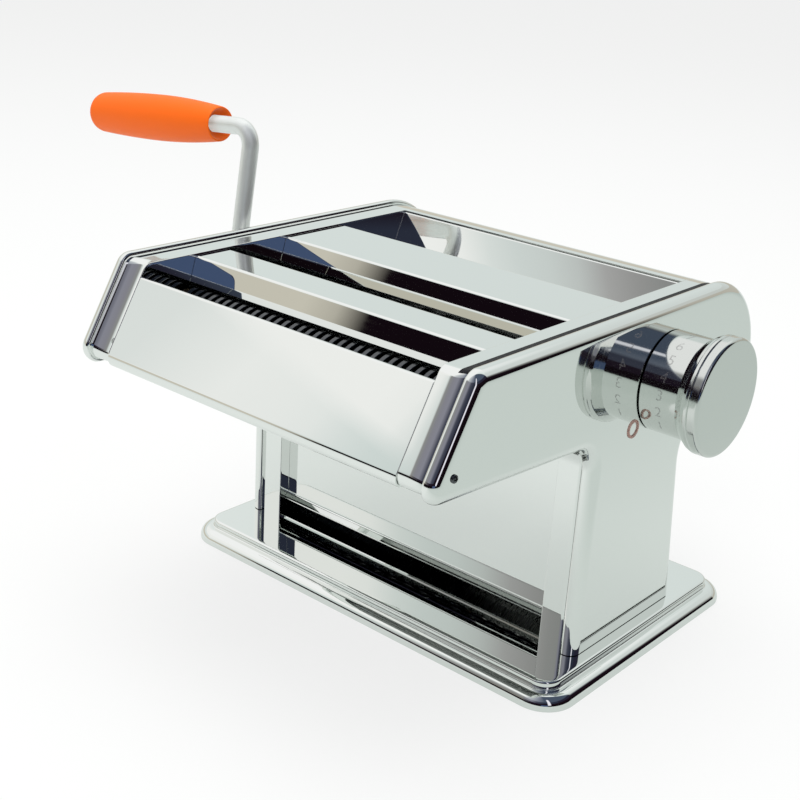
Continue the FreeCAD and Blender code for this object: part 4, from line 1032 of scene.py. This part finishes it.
def set_world(scene):
    """Almost white for the camera. Mirrors see a pale tent behind and on the crank side, and a dark room
    on the other sides, as a shiny thing is photographed in a studio."""
    world = bpy.data.worlds.new("Studio")
    scene.world = world
    world.use_nodes = True
    tree = world.node_tree
    tree.nodes.clear()
    direction = add(tree, "ShaderNodeTexCoord").outputs["Generated"]
    back = add(tree, "ShaderNodeVectorMath", {0: direction, 1: (-1.0, -1.0, 1.0)}, operation="MULTIPLY")
    x, y, z = add(tree, "ShaderNodeSeparateXYZ", {"Vector": back.outputs["Vector"]}).outputs
    # Turn is the angle round from +X as a share of a full circle, rise the height as a share of 90 degrees
    angle = add(tree, "ShaderNodeMath", {0: y, 1: x}, operation="ARCTAN2").outputs[0]
    turn = add(tree, "ShaderNodeMath", {
        0: angle, 1: 1 / (2 * math.pi), 2: 0.5,
    }, operation="MULTIPLY_ADD").outputs[0]
    height = add(tree, "ShaderNodeMath", {0: z}, operation="ARCSINE").outputs[0]
    rise = add(tree, "ShaderNodeMath", {
        0: height, 1: 2 / math.pi,
    }, operation="MULTIPLY", use_clamp=True).outputs[0]
    # What a mirror sees round the machine at four heights, each colour from its turn on
    low = add(tree, "ShaderNodeValToRGB", {"Fac": turn}, stops=(
        (0.0, "#120A10"), (0.155, "#120A10"), (0.165, "#BDB9AE"), (0.3, "#C4C0B4"), (0.34, "#CFCABC"),
        (0.6365, "#CFCABC"), (0.6375, "#120A10"), (0.84, "#120A10"), (0.845, "#48587A"), (0.9, "#48587A"),
        (0.905, "#120A10"),
    ))
    middle = add(tree, "ShaderNodeValToRGB", {"Fac": turn}, stops=(
        (0.0, "#1A1018"), (0.15, "#1A1018"), (0.165, "#C9CCC8"), (0.3, "#D9E0DE"), (0.4, "#E0E8E6"),
        (0.605, "#E6EAE8"), (0.617, "#F6F7F5"), (0.628, "#F2F4F2"), (0.635, "#DCE4E2"), (0.644, "#D2DCD9"),
        (0.651, "#CCD2D0"), (0.657, "#A6A4A4"), (0.664, "#8F908F"), (0.668, "#87847F"), (0.7, "#56545A"),
        (0.76, "#241C2A"), (0.9, "#1A1018"),
    ))
    high = add(tree, "ShaderNodeValToRGB", {"Fac": turn}, stops=(
        (0.0, "#2A2838"), (0.15, "#2A2838"), (0.165, "#D6DCDA"), (0.36, "#E2EAE8"), (0.45, "#FBFBF9"),
        (0.636, "#FBFBF9"), (0.642, "#DAE1DF"), (0.651, "#CED4D2"), (0.657, "#A6A4A4"), (0.664, "#909190"),
        (0.7, "#8A8992"), (0.75, "#8C8C98"), (0.8, "#4A4C5A"), (0.87, "#2E3242"),
    ))
    top = add(tree, "ShaderNodeValToRGB", {"Fac": turn}, stops=(
        (0.0, "#4C5668"), (0.15, "#4C5668"), (0.175, "#E6EEEC"), (0.3, "#FFFFFF"), (0.66, "#FFFFFF"),
        (0.7, "#C8CCD0"), (0.8, "#8A8E9C"), (0.88, "#4C5668"),
    ))
    # Each band takes over from the one below between two rises. A colour mix has its two colours in
    # inputs 6 and 7 and its result in output 2.
    bands = low.outputs["Color"]
    for band, start, end in ((middle, 0.127, 0.14), (high, 0.258, 0.272), (top, 0.4, 0.46)):
        share = add(tree, "ShaderNodeMapRange", {"Value": rise, "From Min": start, "From Max": end})
        bands = add(tree, "ShaderNodeMix", {
            "Factor": share.outputs["Result"], 6: bands, 7: band.outputs["Color"],
        }, data_type="RGBA").outputs[2]
    # A narrow strip lamp stands on the dial side
    strip_across = add(tree, "ShaderNodeValToRGB", {"Fac": turn}, stops=(
        (0.899, "#000000"), (0.904, "#FFFFFF"), (0.925, "#FFFFFF"), (0.93, "#000000"),
    ))
    strip_up = add(tree, "ShaderNodeValToRGB", {"Fac": rise}, stops=(
        (0.1, "#000000"), (0.14, "#FFFFFF"), (0.66, "#FFFFFF"), (0.69, "#000000"),
    ))
    strip_lamp = add(tree, "ShaderNodeMath", {
        0: strip_across.outputs["Color"], 1: strip_up.outputs["Color"],
    }, operation="MULTIPLY")
    lit = add(tree, "ShaderNodeMix", {
        "Factor": strip_lamp.outputs[0], 6: bands, 7: hex_colour("#F6F4FF"),
    }, data_type="RGBA")
    mirror_sky = add(tree, "ShaderNodeBackground", {"Color": lit.outputs[2], "Strength": 1.0})
    ambient = add(tree, "ShaderNodeBackground", {"Color": (1, 1, 1, 1), "Strength": 0.55})
    seen = add(tree, "ShaderNodeBackground", {"Color": (1, 1, 1, 1), "Strength": 0.88})
    path = add(tree, "ShaderNodeLightPath").outputs
    glossy = add(tree, "ShaderNodeMixShader", {
        0: path["Is Glossy Ray"], 1: ambient.outputs[0], 2: mirror_sky.outputs[0],
    })
    both = add(tree, "ShaderNodeMixShader", {
        0: path["Is Camera Ray"], 1: glossy.outputs[0], 2: seen.outputs[0],
    })
    add(tree, "ShaderNodeOutputWorld", {"Surface": both.outputs[0]})


def set_floor(scene):
    """Wide white table; the camera sees it almost white, with the machine's soft shadow."""
    reach = 6.0
    data = bpy.data.meshes.new("Floor")
    data.from_pydata([(a * reach, b * reach, 0) for a, b in CORNERS], [], [(0, 1, 2, 3)])
    floor = bpy.data.objects.new("Floor", data)
    scene.collection.objects.link(floor)
    material = bpy.data.materials.new("White table laminate")
    material.use_nodes = True
    tree = material.node_tree
    tree.nodes.clear()
    lit = add(tree, "ShaderNodeBsdfDiffuse", {"Color": hex_colour("#F0F2F0")}).outputs[0]
    bright = add(tree, "ShaderNodeEmission", {"Color": (1, 1, 1, 1), "Strength": 1.0}).outputs[0]
    # In mirrors the table glows with a painted tone that falls off to grey on the dial side: painted shade in
    # the reflections there
    spot = add(tree, "ShaderNodeTexCoord").outputs["Object"]
    across = add(tree, "ShaderNodeSeparateXYZ", {"Vector": spot}).outputs["X"]
    side = add(tree, "ShaderNodeMapRange", {"Value": across, "From Min": 0.0, "From Max": 0.25})
    painted_mirror_tone = add(tree, "ShaderNodeValToRGB", {"Fac": side.outputs["Result"]}, stops=(
        (0.0, "#E4EAE7"), (1.0, "#BCC8C2"),
    ))
    pale = add(tree, "ShaderNodeEmission", {"Color": painted_mirror_tone.outputs["Color"], "Strength": 1.0}).outputs[0]
    path = add(tree, "ShaderNodeLightPath").outputs
    for_camera = add(tree, "ShaderNodeMixShader", {0: 0.74, 1: lit, 2: bright})
    for_mirror = add(tree, "ShaderNodeMixShader", {0: 0.75, 1: lit, 2: pale})
    glossy = add(tree, "ShaderNodeMixShader", {0: path["Is Glossy Ray"], 1: lit, 2: for_mirror.outputs[0]})
    both = add(tree, "ShaderNodeMixShader", {
        0: path["Is Camera Ray"], 1: glossy.outputs[0], 2: for_camera.outputs[0],
    })
    add(tree, "ShaderNodeOutputMaterial", {"Surface": both.outputs[0]})
    data.materials.append(material)


def set_lamps(scene):
    """One large soft lamp overhead and a weaker one from the front; mirrors don't see them."""
    for name, place, size, power in (
        ("Overhead softbox", (-0.15, 0.1, 1.6), 1.4, 17.0),
        ("Front softbox", (0.5, -1.5, 1.5), 1.0, 9.0),
    ):
        light = bpy.data.lights.new(name, "AREA")
        light.shape, light.size, light.energy = "SQUARE", size, power
        lamp = bpy.data.objects.new(name, light)
        aim = Vector((0, -0.03, 0.08)) - Vector(place)
        lamp.matrix_world = Matrix.Translation(place) @ aim.to_track_quat("-Z", "Y").to_matrix().to_4x4()
        lamp.visible_glossy = False
        scene.collection.objects.link(lamp)


OPERATORS = (
    PASTA_OT_side_covers, PASTA_OT_side_frames, PASTA_OT_sheet_metal, PASTA_OT_base, PASTA_OT_cutters,
    PASTA_OT_fasteners, PASTA_OT_dial, PASTA_OT_grip, PASTA_OT_finishes, PASTA_OT_studio,
)


class PASTA_PT_pieces(Panel):
    """The machine's settings and a button for each group of pieces"""
    bl_label = "Pasta machine"
    bl_idname = "PASTA_PT_pieces"
    bl_space_type = "VIEW_3D"
    bl_region_type = "UI"
    bl_category = "Pasta machine"

    def draw(self, context):
        for group in (context.scene.machine_sizes, context.scene.machine_colours):
            for name in group.__annotations__:
                self.layout.prop(group, name)
        for operator in OPERATORS:
            self.layout.operator(operator.bl_idname)


CLASSES = (MachineSizes, MachineColours, *OPERATORS, PASTA_PT_pieces)


def register():
    """Adds the settings, the operators and the panel to Blender."""
    for item in CLASSES:
        bpy.utils.register_class(item)
    bpy.types.Scene.machine_sizes = PointerProperty(type=MachineSizes)
    bpy.types.Scene.machine_colours = PointerProperty(type=MachineColours)


def unregister():
    """Takes them out again."""
    del bpy.types.Scene.machine_colours
    del bpy.types.Scene.machine_sizes
    for item in reversed(CLASSES):
        bpy.utils.unregister_class(item)


def main():
    """Builds every group of pieces and the stage."""
    register()
    for operator in OPERATORS:
        group, name = operator.bl_idname.split(".")
        getattr(getattr(bpy.ops, group), name)()


if __name__ == "__main__":
    main()
